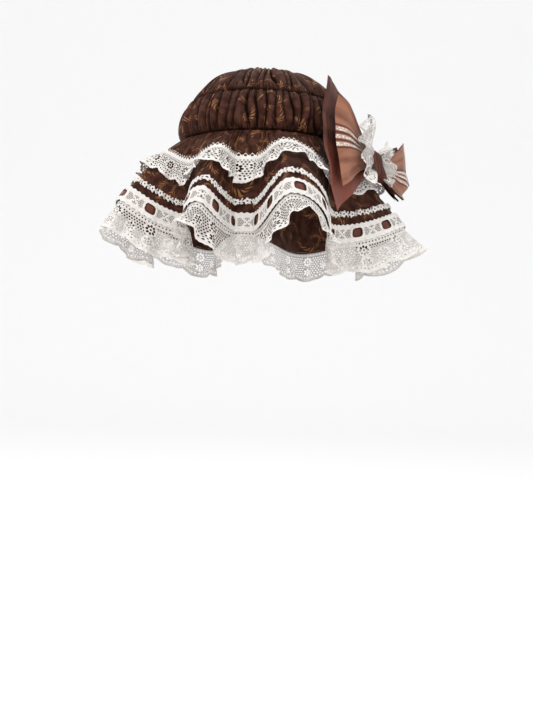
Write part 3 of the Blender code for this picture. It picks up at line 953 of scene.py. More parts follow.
@dataclass
class FlutedBrim:
    """The brim: jacquard gathered into the rim, falling in deep flutes.

    Attributes:
        form: The form that it follows.
        gather: How high its small gathers stand at the rim.
        fade: The distance in which they die out.
        ripple: How high the wider waves between its flutes stand.
        gathers: The small gathers.
        waves: The wider waves.
        figure_start: How far across the jacquard it starts, past where the crown ends.
        flat: The width and length that it was cut to; it is not used.
        rows: How many points it has from its rim to its hem.
        columns: How many it has round it.
    """

    form: BrimForm
    gather: float = 0.0022
    fade: float = 0.028
    ripple: float = 0.0009
    gathers: Gathers = Gathers(92, 31, wander=0.35, roundness=0.6)
    waves: Gathers = Gathers(40, 37, wander=0.8, roundness=1.0)
    figure_start: float = 0.16
    flat: tuple[float, float] = (0.103, 1.16)
    rows: int = 62
    columns: int = 1000

    def build(self, jacquard: Material) -> Object:
        """Makes the brim.

        Args:
            jacquard: Its cloth.

        Returns:
            The brim's object.
        """
        azimuths, share = self.form.columns(self.columns)
        down = np.linspace(0.0, 1.0, self.rows) ** 1.25 * self.form.length
        distances = down[:, None] + 0.0 * share
        smooth = self.form.points(azimuths, distances)
        turn = np.broadcast_to(share, distances.shape)
        folds = self.gathers.height(turn, down / 0.024)
        wide = self.waves.height(turn, down / 0.03)
        start = ease(distances / 0.006)
        heights = self.gather * start * np.exp(-distances / self.fade) * folds
        calm = ease((self.form.length - distances) / 0.04)
        heights = heights + self.ripple * start * calm * wide
        shade = ease((-0.05 - folds) / 0.75) * np.exp(-distances / self.fade)
        points = stand_off(smooth, heights)
        along = share * self.form.girth(self.form.even_at) + 0.0 * distances
        grid = ClothGrid(points, along, distances + self.figure_start, shade=shade)
        brim = grid.build("fluted_brim", jacquard)
        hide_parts("brim")
        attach(brim, "root")
        return brim


@dataclass(frozen=True)
class Rosette:
    """A flower of a pierced lace: a ring of petal-shaped holes round an eye.

    Attributes:
        petals: How many petals it has.
        ring: How far the petals' middles are from its own.
        hole: Half a petal's width.
        eye: The radius of its eye.
        worked: The radius of the closely worked cloth round it.
        outline: The radius of its corded outline.
        height: How high that cord is, next to the highest ones.
        cord: Half the width of that cord.
        stretch: How long a petal is, next to its width.
    """

    petals: int
    ring: float
    hole: float
    eye: float
    worked: float
    outline: float = 0.0
    height: float = 1.0
    cord: float = 0.0006
    stretch: float = 1.35

    def holes(self, x: Array, y: Array) -> Array:
        """Measures to its holes.

        Args:
            x: Distance from its middle along the lace.
            y: Distance from its middle across it.

        Returns:
            Distance to the nearest one.
        """
        far = np.hypot(x, y)
        turn = centred(np.arctan2(x, y), 2.0 * np.pi / self.petals)
        out = (far * np.cos(turn) - self.ring) / self.stretch
        return np.minimum(np.hypot(out, far * np.sin(turn)) - self.hole, far - self.eye)

    def away(self, x: Array, y: Array) -> Array:
        """Distance from its closely worked cloth."""
        return np.hypot(x, y) - self.worked

    def raised(self, x: Array, y: Array) -> Array:
        """The height of its corded outline."""
        return self.height * Figure.cord(np.hypot(x, y) - self.outline, self.cord)


class Figure:
    """Distances to the holes of a pierced lace. A distance is below zero inside a hole."""

    @staticmethod
    def net(x: Array, y: Array, pitch: float, hole: float) -> Array:
        """The holes of a hexagonal net.

        Args:
            x: Distance along the lace.
            y: Distance across it.
            pitch: The distance between holes.
            hole: The radius of a hole.

        Returns:
            Distance to the nearest hole.
        """
        rise = pitch * math.sqrt(3.0) / 2.0
        first = np.hypot(centred(x, pitch), centred(y, 2.0 * rise))
        second = np.hypot(centred(x + pitch / 2.0, pitch), centred(y + rise, 2.0 * rise))
        return np.minimum(first, second) - hole

    @staticmethod
    def eyelets(x: Array, y: Array, pitch: float, hole: float) -> Array:
        """A row of round holes along y = 0."""
        return np.hypot(centred(x, pitch), y) - hole

    @staticmethod
    def cord(distance: Array, width: float) -> Array:
        """The height of a round cord, 1 along its middle."""
        return np.sqrt(np.clip(1.0 - (distance / width) ** 2, 0.0, 1.0))

    @staticmethod
    def compose(
        flowers: list[tuple[Rosette, Array, Array]], holes: list[Array], worked: list[Array],
        net: Array, cords: list[Array],
    ) -> tuple[Array, Array, Array]:
        """Puts a lace together.

        Args:
            flowers: Each flower, with the distances from its middle along and across.
            holes: Distances to its other holes.
            worked: Distances from its closely worked cloth, apart from the flowers.
            net: Distance to the holes of the net, which fills the rest.
            cords: The heights of its cords, apart from the flowers.

        Returns:
            Distance to the nearest hole, the height of the raised threads, and the distance
            from the closely worked cloth.
        """
        motif = np.minimum.reduce([flower.away(x, y) for flower, x, y in flowers] + worked)
        pierced = [flower.holes(x, y) for flower, x, y in flowers] + holes
        level = np.minimum.reduce(pierced + [np.maximum(net, -motif)])
        raised = np.maximum.reduce([flower.raised(x, y) for flower, x, y in flowers] + cords)
        return level, raised, motif


@dataclass
class LaceFrill:
    """A pierced lace frill sewn round the cap, with a scalloped lower edge.

    Attributes:
        form: The form of the brim below it.
        name: The piece's name.
        node: The solid that it stands for.
        top: The distance from the rim at which it starts.
        width: Its width.
        scallop: How deep its scallops are.
        repeat: The length of one scallop, in metres.
        flat: The width and length that it was cut to; it is not used.
        rests_on: The piece that it lies on; it is not used.
        depth: How shaded its net is.
        picot: How far the picots along its edge stand out.
        picot_length: The length of one picot.
        relief: How far its cords stand out.
        rows: How many points it has across its width.
        columns: How many it has round the cap.
    """

    form: BrimForm
    name: str
    node: str
    top: float
    width: float
    scallop: float
    repeat: float
    flat: tuple[float, float]
    rests_on: str
    depth: float = 0.5
    picot: float = 0.0005
    picot_length: float = 0.0026
    relief: float = 0.0005
    rows: int = 48
    columns: int = 1900

    def edge_at(self, share: Array) -> Array:
        """The scalloped edge, with small picots along it.

        Args:
            share: Share of the way round of each column.

        Returns:
            The distance from the frill's top to its edge.
        """
        turn = share * self.form.repeats
        cut = self.scallop * (1.0 - np.abs(np.sin(np.pi * (turn + 1.0 / 6.0))) ** 0.8)
        picots = round(self.repeat / self.picot_length)
        picot = self.picot * np.abs(np.sin(np.pi * turn * picots))
        return self.width - cut - self.picot + picot

    def surface(self, azimuths: Array, share: Array, down: Array) -> Array:
        """The frill's cloth before its threads are raised, rows by columns by 3."""
        raise NotImplementedError

    def figure(self, x: Array, y: Array, inner: Array) -> tuple[Array, Array, Array]:
        """The pierced figure.

        Args:
            x: Distance along the lace from the middle of its scallop.
            y: Distance from the top.
            inner: Distance in from the scalloped edge.

        Returns:
            Distance to the nearest hole, the height of the raised threads, and the distance
            from the closely worked flowers and edges.
        """
        raise NotImplementedError

    def build(self, cotton: Material) -> Object:
        """Makes the frill.

        Args:
            cotton: Its thread.

        Returns:
            The frill's object.
        """
        azimuths, share = self.form.columns(self.columns)
        down = np.linspace(-0.0002, self.width + 0.0003, self.rows)[:, None] + 0.0 * share
        smooth = self.surface(azimuths, share, down)
        turn = share * self.form.repeats
        x = centred(turn - 1.0 / 3.0, 1.0) * self.repeat + 0.0 * down
        inner = self.edge_at(share) - down
        holes, raised, motif = self.figure(x, down, inner)
        level = np.minimum(inner, holes)
        points = stand_off(smooth, raised * self.relief)
        along = turn * self.repeat + 0.0 * down
        shade = self.depth * (1.0 - raised) ** 2 * ease(motif / 0.0008)
        grid = ClothGrid(points, along, down, level=level, shade=shade)
        frill = grid.build(self.name, cotton)
        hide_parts(self.node)
        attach(frill, "root")
        return frill


@dataclass
class HemLace(LaceFrill):
    """The wide lace that hangs from the hem in ripples.

    Attributes:
        ripple: How far its edge ripples.
        flower: The flowers in the middle of its scallops.
        bud: The flowers below them.
        side_flower: The flowers between two scallops.
        net_hole: The radius of the net's holes.
    """

    ripple: float = 0.0046
    flower: Rosette = Rosette(8, 0.0036, 0.00108, 0.0011, 0.0060, 0.0055)
    bud: Rosette = Rosette(6, 0.0028, 0.00105, 0.0009, 0.0050, 0.0046)
    side_flower: Rosette = Rosette(6, 0.0027, 0.00095, 0.0009, 0.0046, 0.0042)
    net_hole: float = 0.00088

    def surface(self, azimuths: Array, share: Array, down: Array) -> Array:
        """The hem lace's cloth, in ripples that grow towards its edge.

        Args:
            azimuths: One azimuth for each column, in degrees.
            share: Share of the way round of each column.
            down: Distances from the frill's top, rows by columns.

        Returns:
            The points, rows by columns by 3.
        """
        smooth = self.form.points(azimuths, self.top + down)
        grow = np.clip(down / self.width, 0.0, 1.0) ** 1.2
        turn = 2.0 * np.pi * self.form.repeats * share
        sway = 0.8 * np.sin(turn + 1.1 * np.sin(2.0 * np.pi * 7.0 * share))
        sway = sway + 0.45 * np.sin(2.0 * np.pi * 83.0 * share + 2.0)
        return stand_off(smooth, self.ripple * grow * sway)

    def figure(self, x: Array, y: Array, inner: Array) -> tuple[Array, Array, Array]:
        """Two flowers above each other, small ones between, a corded edge, and net.

        Args:
            x: Distance along the lace from the middle of its scallop.
            y: Distance from the top.
            inner: Distance in from the scalloped edge.

        Returns:
            What Figure.compose returns.
        """
        side = np.abs(x) - self.repeat / 2.0
        return Figure.compose(
            flowers=[
                (self.flower, x, y - 0.0105), (self.bud, x, y - 0.0220),
                (self.side_flower, side, y - 0.0160),
            ],
            holes=[
                Figure.eyelets(x, y - 0.0034, self.repeat / 10.0, 0.0008),
                Figure.eyelets(x, inner - 0.0042, self.repeat / 11.0, self.net_hole),
            ],
            worked=[y - 0.0050, inner - 0.0060],
            net=Figure.net(x, y, self.repeat / 13.0, self.net_hole),
            cords=[Figure.cord(inner - 0.0015, 0.0012), Figure.cord(y - 0.0014, 0.0012)],
        )


@dataclass
class CrownLace(LaceFrill):
    """The narrow lace round the top of the brim, with a picot heading above its seam.

    Attributes:
        depth: How shaded its net is.
        seam: The distance from its top to its seam.
        stand: How steeply it stands off the brim on both sides of the seam.
        wave: How far its edge waves.
        lift: How far its seam stands off the brim's middle.
        flower: The flowers in the middle of its scallops.
        bud: The flowers between two scallops.
    """

    depth: float = 0.4
    seam: float = 0.006
    stand: float = 0.075
    wave: float = 0.0032
    lift: float = 0.0015
    flower: Rosette = Rosette(8, 0.0032, 0.00105, 0.0011, 0.0053, 0.0048)
    bud: Rosette = Rosette(6, 0.0026, 0.00090, 0.0009, 0.0043, 0.0039)

    def surface(self, azimuths: Array, share: Array, down: Array) -> Array:
        """The top lace's cloth, which stands off the brim on both sides of its seam.

        Args:
            azimuths: One azimuth for each column, in degrees.
            share: Share of the way round of each column.
            down: Distances from the frill's top, rows by columns.

        Returns:
            The points, rows by columns by 3.
        """
        smooth = self.form.points(azimuths, self.top + down)
        off = np.abs(down - self.seam)
        turn = 2.0 * np.pi * self.form.repeats * share
        sway = 1.0 + np.sin(turn + 0.9 * np.sin(2.0 * np.pi * 5.0 * share))
        sway = sway + 0.5 * (1.0 + np.sin(2.0 * np.pi * 71.0 * share))
        heights = self.lift + off * self.stand + self.wave * sway * (off / self.width) ** 1.1
        return stand_off(smooth, heights)

    def figure(self, x: Array, y: Array, inner: Array) -> tuple[Array, Array, Array]:
        """A flower in each scallop, buds between, a corded edge, net and a picot heading.

        Args:
            x: Distance along the lace from the middle of its scallop.
            y: Distance from the top.
            inner: Distance in from the scalloped edge.

        Returns:
            What Figure.compose returns.
        """
        side = np.abs(x) - self.repeat / 2.0
        pitch = self.repeat / 5.0
        return Figure.compose(
            flowers=[(self.flower, x, y - 0.0160), (self.bud, side, y - 0.0135)],
            holes=[
                Figure.eyelets(x, y - 0.0024, pitch, 0.00112),
                y - 0.0002 - 0.0022 * np.abs(np.sin(np.pi * x / pitch)) ** 1.5,
                Figure.eyelets(x, inner - 0.0038, self.repeat / 8.0, 0.00085),
            ],
            worked=[y - 0.0066, inner - 0.0054],
            net=Figure.net(x, y, self.repeat / 9.0, 0.00080),
            cords=[Figure.cord(inner - 0.0014, 0.0011), Figure.cord(y - 0.0052, 0.0010)],
        )


@dataclass
class HemBeading:
    """The beading lace along the hem, and the ribbon that shows in its windows.

    Attributes:
        form: The form of the brim below it.
        width: The lace's width.
        ribbon_width: The ribbon's width.
        lift: How far the ribbon stands off the brim's middle.
        bulge: How far the ribbon comes out through a window.
        window: Half the length and half the height of a window.
        rounding: The radius of a window's corners.
        spray: The small flower between two windows.
        flat: The width and length that the lace was cut to; it is not used.
        ribbon_flat: The width and length that the ribbon was cut to; it is not used.
        rows: How many points the lace has across its width.
        ribbon_rows: How many the ribbon has.
        columns: How many both have round the cap.
    """

    form: BrimForm
    width: float = 0.017
    ribbon_width: float = 0.0100
    lift: float = 0.00145
    bulge: float = 0.0016
    window: tuple[float, float] = (0.0052, 0.0044)
    rounding: float = 0.0030
    spray: Rosette = Rosette(4, 0.0016, 0.0005, 0.0001, 0.0024, 0.0022, height=0.7)
    flat: tuple[float, float] = (0.017, 1.16)
    ribbon_flat: tuple[float, float] = (0.0100, 1.20)
    rows: int = 30
    ribbon_rows: int = 12
    columns: int = 1800

    def pitch(self) -> float:
        """The distance from one window to the next."""
        return self.form.girth(self.form.even_at) / self.form.repeats

    def from_window(self, share: Array) -> Array:
        """Distance along the lace from the middle of the nearest window."""
        return centred(share * self.form.repeats - 1.0 / 6.0, 1.0) * self.pitch()

    def window_distance(self, x: Array, y: Array, grow: float = 0.0) -> Array:
        """Measures to a window with rounded corners.

        Args:
            x: Distance from its middle along the lace.
            y: Distance from its middle across it.
            grow: How much larger the window is taken to be.

        Returns:
            The distance, below zero inside the window.
        """
        past = [
            np.maximum(np.abs(value) - half + self.rounding, 0.0)
            for value, half in zip((x, y), self.window)
        ]
        return np.hypot(*past) - self.rounding - grow

    def band(self, rows: int, width: float) -> tuple[Array, Array, Array]:
        """A smooth band along the middle of the beading.

        Args:
            rows: How many points it has across its width.
            width: Its width.

        Returns:
            Its points, the share of the way round of each column, and the distance of each
            point from the band's middle.
        """
        azimuths, share = self.form.columns(self.columns)
        middle = self.form.length - self.width / 2.0
        y = np.linspace(-0.5, 0.5, rows)[:, None] * width + 0.0 * share
        return self.form.points(azimuths, middle + y), share, y

    def ribbon(self, satin: Material) -> Object:
        """Makes the ribbon.

        Args:
            satin: Its finish.

        Returns:
            The ribbon's object, which bulges out through each window.
        """
        smooth, share, y = self.band(self.ribbon_rows, self.ribbon_width)
        x = self.from_window(share) + 0.0 * y
        out = 1.0 - ease((np.abs(x) - 0.002) / 0.004)
        cross = np.cos(np.pi * y / self.ribbon_width) ** 0.5
        points = stand_off(smooth, self.lift - 0.0002 + self.bulge * out * cross)
        along = share * self.form.girth(self.form.even_at) + 0.0 * y
        piece = ClothGrid(points, along, y + 0.005).build("beading_satin", satin)
        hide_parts("beading_ribbon")
        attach(piece, "root")
        return piece

    def lace(self, cotton: Material) -> Object:
        """Makes the beading lace.

        Args:
            cotton: Its thread.

        Returns:
            The lace's object, with its windows, corded edges and net.
        """
        smooth, share, y = self.band(self.rows, self.width + 0.0012)
        x = self.from_window(share) + 0.0 * y
        pitch = self.pitch()
        waves = round(pitch / 0.0052)
        edge = self.width / 2.0 + 0.0005 * np.cos(2.0 * np.pi * waves * x / pitch)
        inner = edge - np.abs(y)
        window = self.window_distance(x, y)
        side = np.abs(x) - pitch / 2.0
        cross = np.minimum(np.abs(side - y * 1.15), np.abs(side + y * 1.15)) / 1.5
        level, raised, motif = Figure.compose(
            flowers=[(self.spray, side, y)],
            holes=[inner, window],
            worked=[self.window_distance(x, y, 0.0019), inner - 0.0042, cross - 0.0007],
            net=Figure.net(x, y, pitch / 18.0, 0.00056),
            cords=[
                Figure.cord(window - 0.0009, 0.0011), Figure.cord(inner - 0.0012, 0.0012),
                0.8 * Figure.cord(inner - 0.0034, 0.0008), 0.7 * Figure.cord(cross, 0.0008),
            ],
        )
        over = 0.0008 * (1.0 - ease((window - 0.0005) / 0.004))
        points = stand_off(smooth, self.lift + 0.0008 + over + 0.0006 * raised)
        along = share * self.form.girth(self.form.even_at) + 0.0 * y
        shade = 0.65 * (1.0 - raised) ** 2 * ease(motif / 0.0006)
        grid = ClothGrid(points, along, y + 0.01, level=level, shade=shade)
        piece = grid.build("hem_beading", cotton)
        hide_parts("beading_lace")
        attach(piece, "root")
        return piece


@dataclass
class FlowerBraid:
    """A chain of small guipure flowers and leaves above the beading.

    Attributes:
        form: The form of the brim below it.
        top: The distance from the rim to the braid's upper edge.
        width: The braid's width.
        flowers: How many flowers go round.
        lift: How far its back stands off the brim's middle.
        dome: How far its petals stand up.
        petals: How many petals a flower has.
        radius: A flower's mean radius.
        scallop: How far its petals reach past that.
        eye: The radius of the hole in its middle.
        flat: The width and length that it was made to; it is not used.
        rows: How many points it has across its width.
        columns: How many it has round the cap.
    """

    form: BrimForm
    top: float = 0.0705
    width: float = 0.009
    flowers: int = 108
    lift: float = 0.0014
    dome: float = 0.0014
    petals: int = 5
    radius: float = 0.0029
    scallop: float = 0.00055
    eye: float = 0.0008
    flat: tuple[float, float] = (0.010, 1.00)
    rows: int = 27
    columns: int = 2800

    def build(self, cotton: Material) -> Object:
        """Makes the braid.

        Args:
            cotton: Its thread.

        Returns:
            The braid's object.
        """
        azimuths, share = self.form.columns(self.columns)
        middle = self.top + self.width / 2.0
        y = np.linspace(-0.5, 0.5, self.rows)[:, None] * (self.width + 0.0006) + 0.0 * share
        smooth = self.form.points(azimuths, middle + y)
        pitch = self.form.girth(middle) / self.flowers
        place = share * self.flowers
        number = np.round(place)
        x = (place - number) * pitch + 0.0 * y
        chance = np.random.default_rng(3)
        sway, spin, size = chance.uniform(-1.0, 1.0, (3, self.flowers))
        which = number.astype(int) % self.flowers
        dy = y - 0.0006 * sway[which]
        far = np.hypot(x, dy)
        petals = np.cos(self.petals * (np.arctan2(x, dy) + 0.6 * spin[which]))
        flower = self.radius * (1.0 + 0.08 * size[which]) + self.scallop * petals - far
        stem = 0.0005 - np.abs(dy + 0.0005 * np.sin(2.0 * np.pi * place))
        between = centred(x - pitch / 2.0, pitch)
        from_leaf = np.abs(dy) - 0.0016
        leaf = 0.00075 - np.hypot(0.34 * (between + from_leaf), 0.72 * (between - from_leaf))
        cloth = np.maximum.reduce([flower, stem, leaf])
        hole = far - self.eye
        level = np.minimum(cloth, hole)
        rim = Figure.cord(level - 0.0006, 0.0008)
        heights = self.lift + self.dome * (0.35 + 0.65 * rim) * ease((cloth + 0.0002) / 0.0006)
        points = stand_off(smooth, heights)
        along = share * self.form.girth(middle) + 0.0 * y
        grid = ClothGrid(points, along, y + 0.005, level=level)
        piece = grid.build("guipure_flowers", cotton)
        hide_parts("flower_braid")
        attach(piece, "root")
        return piece


def smooth_table(places: Array, values: Array, at: Array) -> Array:
    """A smooth curve through a short table.

    Args:
        places: Where the table's values are, rising.
        values: The values.
        at: Where the curve is wanted.

    Returns:
        The curve's values.
    """
    slopes = np.gradient(values, places)
    low = np.clip(np.searchsorted(places, at, side="right") - 1, 0, len(places) - 2)
    width = places[low + 1] - places[low]
    share = np.clip((at - places[low]) / width, 0.0, 1.0)
    square, cube = share**2, share**3
    return (
        (2 * cube - 3 * square + 1) * values[low]
        + (cube - 2 * square + share) * width * slopes[low]
        + (3 * square - 2 * cube) * values[low + 1]
        + (cube - square) * width * slopes[low + 1]
    )


def loop_sections() -> Array:
    """One loop of a bow, from the knot to the fold at its end.

    Returns:
        Shares of the reach, of the way to the full height, of the depth, and of the way to the
        full spacing from the next bow.
    """
    return table(
        "reach height depth spacing",
        [
            (0.00, 0.00, 0.16, 0.0),
            (0.16, 0.06, 0.30, 0.4),
            (0.36, 0.28, 0.80, 1.0),
            (0.62, 0.60, 1.00, 1.0),
            (0.86, 0.88, 0.80, 1.0),
            (1.00, 1.00, 0.00, 1.0),
        ],
    )


@dataclass(frozen=True)
class Loops:
    """The sizes of one bow.

    Attributes:
        name: The piece's name.
        node: The solid that it stands for.
        slot: Its material slot; it is not used.
        reach: How far its front loop reaches from the knot.
        rear_reach: How far its rear loop reaches.
        height: The height of its front loop.
        rear_height: The height of its rear loop.
        depth: How far the two layers of a loop stand apart.
        flat: The ribbon's width and length; it is not used.
        corner: How far its corners are drawn in.
        flare: How far its free edges wave outwards.
        pinch: Its height under the knot.
        taper: How late its height grows towards the loop's end.
        dip: How far its outer layer sinks towards the loop's end, as a share of the depth.
        spacing: How near the next bow lies at the knot, and how much further off at the end.
        sections: The loop's table.
    """

    name: str
    node: str
    slot: str
    reach: float
    rear_reach: float
    height: float
    rear_height: float
    depth: float
    flat: tuple[float, float]
    corner: float = 0.13
    flare: float = 0.0
    pinch: float = 0.024
    taper: float = 1.0
    dip: float = 0.0
    spacing: tuple[float, float] = (0.0006, 0.0012)
    sections: Array = field(default_factory=loop_sections)

    def share(self, along: Array) -> Array:
        """How far along its loop a point is, from 0 at the knot to 1 at the fold."""
        return np.minimum(np.abs(along) / np.where(along > 0.0, self.rear_reach, self.reach), 1.0)

    def section(self, column: str, along: Array) -> Array:
        """A column of the loop's table at a point along the bow."""
        return smooth_table(self.sections["reach"], self.sections[column], self.share(along))

    def depth_at(self, along: Array) -> Array:
        """How far apart the two layers stand, less in the rear loop."""
        flatter = 1.0 - 0.6 * ease(along / 0.02)
        return self.depth * flatter * np.clip(self.section("depth", along), 0.0, 1.2)

    def height_at(self, along: Array) -> Array:
        """Works out how high the ribbon is.

        Args:
            along: Places along the bow, below zero in its front loop.

        Returns:
            The heights.
        """
        full = np.where(along > 0.0, self.rear_height, self.height)
        rise = np.clip(self.section("height", along), 0.0, 1.0)
        return self.pinch + (full - self.pinch) * rise**self.taper

    def sink_at(self, along: Array) -> Array:
        """Works out how far the outer layer sinks below its full depth.

        Args:
            along: Places along the bow, below zero in its front loop.

        Returns:
            The distances.
        """
        share = self.share(along)
        hollow = ease((share - 0.60) / 0.2) * (1.0 - ease((share - 0.9) / 0.1))
        return self.dip * self.depth_at(along) * hollow

    def spacing_at(self, along: Array) -> Array:
        """How far the next bow stands off this one."""
        near, more = self.spacing
        return near + more * np.clip(self.section("spacing", along), 0.0, 1.0)


@dataclass
class SideBow:
    """Two satin bows, a lace bow and their knot, stacked outwards on the side of the cap.

    Attributes:
        azimuth: The way the bow faces, in degrees.
        lean: How far it leans back.
        tilt: How far its rear loop hangs down.
        centre: The middle of its plane.
        wall: The thickness of the satin.
        knot_wall: The thickness of the knot's band.
        gap: Clear space between two layers.
        droop: How far the rear loops' lower corners are drawn in.
        blunt: How far those corners are drawn up.
        knot_half: Half the knot's width.
        puff: How far the knot puffs out.
        step: The spacing of the seat's grid.
        soften: How many of those steps the seat is spread and smoothed over.
        seat_lift: How far the seat lies off the cap.
        fold: How high the folds that run out from the knot stand.
        curl: How far the rear loops' ends curl away from the cap.
        half_columns: How many points a layer has from the knot to a loop's end.
        rows: How many it has across the ribbon.
        flower: The flowers along the lace bow's edges.
        middle_flower: The flowers further in.
        repeat: The length of one of its scallops.
        dark: The sizes of the large dark bow.
        striped: The sizes of the striped bow on it.
        frill: The sizes of the lace bow on that.
        knot_flat: The width and length that the knot's band was cut to; it is not used.
    """
    azimuth: float = 53.0
    lean: float = 12.0
    tilt: float = 12.0
    centre: tuple[float, float, float] = (0.0960, -0.042, -0.0235)
    wall: float = 0.001
    knot_wall: float = 0.0012
    gap: float = 0.0005
    droop: float = 0.36
    blunt: float = 0.44
    knot_half: float = 0.009
    puff: float = 0.0042
    step: float = 0.003
    soften: int = 2
    seat_lift: float = 0.0002
    fold: float = 0.0042
    curl: float = 0.0065
    half_columns: int = 56
    rows: int = 61
    flower: Rosette = Rosette(7, 0.0030, 0.00110, 0.0010, 0.0050)
    middle_flower: Rosette = Rosette(7, 0.0029, 0.00105, 0.0010, 0.0048)
    repeat: float = 0.0165
    dark: Loops = Loops(
        "dark_satin_bow", "bow_back", "dark_satin", 0.074, 0.060, 0.138, 0.082, 0.008, (0.098, 0.240),
        dip=0.7,
    )
    striped: Loops = Loops(
        "striped_satin_bow", "bow_front", "pale_satin", 0.066, 0.061, 0.092, 0.094, 0.0050,
        (0.062, 0.230), corner=0.05, taper=1.9,
    )
    frill: Loops = Loops(
        "lace_bow", "bow_lace", "ivory_lace", 0.046, 0.027, 0.074, 0.062, 0.0035, (0.052, 0.145),
        corner=0.34, flare=0.0070,
    )
    knot_flat: tuple[float, float] = (0.019, 0.088)

    def axes(self) -> tuple[Array, Array, Array]:
        """Works out the bow's own directions.

        Returns:
            The directions along the bow to its rear loop, up it, and out from the cap.
        """
        turn, lean, tilt = (math.radians(angle) for angle in (self.azimuth, self.lean, self.tilt))
        level = np.array([math.cos(turn), math.sin(turn), 0.0])
        out = np.array(
            [math.sin(turn) * math.cos(lean), -math.cos(turn) * math.cos(lean), math.sin(lean)]
        )
        along = level * math.cos(tilt) - np.cross(out, level) * math.sin(tilt)
        return along, np.cross(out, along), out

    def place(self, local: Array) -> Array:
        """World points from points along, up and out of the bow's plane."""
        return np.array(self.centre) + local @ np.stack(self.axes())

    def seat(self) -> tuple[Array, Array]:
        """How far out the bow stands to lie on the cap's solids.

        Returns:
            The places of a square grid along one side, and the stand at each grid point.
        """
        along, up, out = self.axes()
        points, faces = [], []
        for name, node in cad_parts.items():
            if name.startswith("bow_"):
                continue
            start = len(points)
            points += [vertex.co.copy() for vertex in node.data.vertices]
            faces += [[start + index for index in face.vertices] for face in node.data.polygons]
        cap = BVHTree.FromPolygons(points, faces)
        size = max(self.dark.reach, self.dark.height)
        half = math.ceil((size + 2.0 * self.step * self.soften) / self.step)
        places = np.arange(-half, half + 1) * self.step
        start = 2.0 * self.dark.reach
        stand = np.zeros((len(places), len(places)))
        for row, across in enumerate(places):
            for column, rise in enumerate(places):
                origin = np.array(self.centre) + along * across + up * rise + out * start
                distance = cap.ray_cast(Vector(origin), Vector(-out), start + self.dark.depth)[3]
                stand[row, column] = 0.0 if distance is None else max(start - distance, 0.0)
        shifts = range(-self.soften, self.soften + 1)
        for combine in (np.max, np.mean):
            moved = [np.roll(stand, (shift, slide), (0, 1)) for shift in shifts for slide in shifts]
            stand = combine(np.array(moved), axis=0)
        return places, stand + self.seat_lift

    def seat_at(self, seat: tuple[Array, Array], along: Array, up: Array) -> Array:
        """Reads the seat between its grid points.

        Args:
            seat: The seat on the cap.
            along: Places along the bow.
            up: Places up it.

        Returns:
            How far out the bow stands there.
        """
        places, stand = seat
        row, column = (along - places[0]) / self.step, (up - places[0]) / self.step
        low_row, low_column = np.floor(row).astype(int), np.floor(column).astype(int)
        row, column = row - low_row, column - low_column
        near = stand[low_row, low_column] * (1 - column) + stand[low_row, low_column + 1] * column
        low_row = low_row + 1
        far = stand[low_row, low_column] * (1 - column) + stand[low_row, low_column + 1] * column
        return near * (1 - row) + far * row

    def stack(self, along: Array, below: tuple[Loops, ...]) -> Array:
        """Works out how far a bow's back layer stands off the seat.

        Args:
            along: Places along the bow.
            below: The bows between it and the cap.

        Returns:
            The distances.
        """
        height = self.knot_wall + self.gap + self.wall / 2.0
        for loops in below:
            height = height + loops.depth_at(along) + self.wall + loops.spacing_at(along)
        return height

    def pleats(self, along: Array, up: Array) -> Array:
        """The folds that run out from the knot, and the curl of the rear loops.

        Args:
            along: Places along the bow.
            up: Places up it.

        Returns:
            How far every layer is pushed out.
        """
        far = np.hypot(along, up)
        angle = np.arctan2(up, np.abs(along)) + np.where(along > 0.0, 1.7, 0.0)
        rise = ease((far - 0.008) / 0.016) * (1.0 - 0.35 * ease((far - 0.045) / 0.04))
        folds = 1.0 + 0.62 * np.cos(7.0 * angle + 0.8) + 0.38 * np.cos(13.0 * angle + 2.1 + 20.0 * far)
        curl = self.curl * (np.clip(along, 0.0, None) / self.dark.rear_reach) ** 2
        return 0.5 * self.fold * rise * folds + curl

    def band(
        self, loops: Loops, below: tuple[Loops, ...], seat: tuple[Array, Array],
        material: Material,
    ) -> Object:
        """Makes one bow.

        Args:
            loops: Its sizes.
            below: The bows between it and the cap.
            seat: The seat on the cap.
            material: Its finish.

        Returns:
            The bow's object.
        """
        half = np.sin(np.linspace(0.0, np.pi / 2.0, self.half_columns))
        back = np.concatenate([-half[:0:-1] * loops.reach, half * loops.rear_reach])
        path = np.concatenate([back, back[-2:0:-1], back[:1]])[None, :]
        front = (np.arange(path.shape[1]) >= len(back))[None, :]
        front[:, -1] = False
        width = np.linspace(1.0, -1.0, self.rows)[:, None]
        share = loops.share(path) + 0.0 * width
        rear = path > 0.0
        up = width * loops.height_at(path) / 2.0
        up = up * (1.0 - self.blunt * (width < 0.0) * rear * ease((share - 0.6) / 0.4))
        along = path * (1.0 - loops.corner * width**2 * share)
        along = along * (1.0 - self.droop * np.clip(-width, 0.0, 1.0) * share * rear)
        out = self.stack(along, below) + front * (loops.depth_at(path) - loops.sink_at(path))
        out = out + self.seat_at(seat, along, up) + self.pleats(along, up)
        wave = 1.0 + np.sin(2.0 * np.pi * 2.2 * width + 4.0 * share + np.sign(path))
        out = out + loops.flare * share * wave * 0.5
        points = self.place(np.stack([along, up, out], -1))
        place = np.concatenate([[0.0], np.cumsum(np.abs(np.diff(path[0])))])[None, :] + 0.0 * width
        across = (1.0 - width) / 2.0 * loops.height + 0.0 * path
        level, shade = None, 0.0
        if loops.flare:
            level, shade = self.frill_figure(place, across, loops)
        grid = ClothGrid(points, place, across, level=level, shade=shade)
        piece = grid.build(loops.name, material)
        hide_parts(loops.node)
        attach(piece, "root")
        return piece

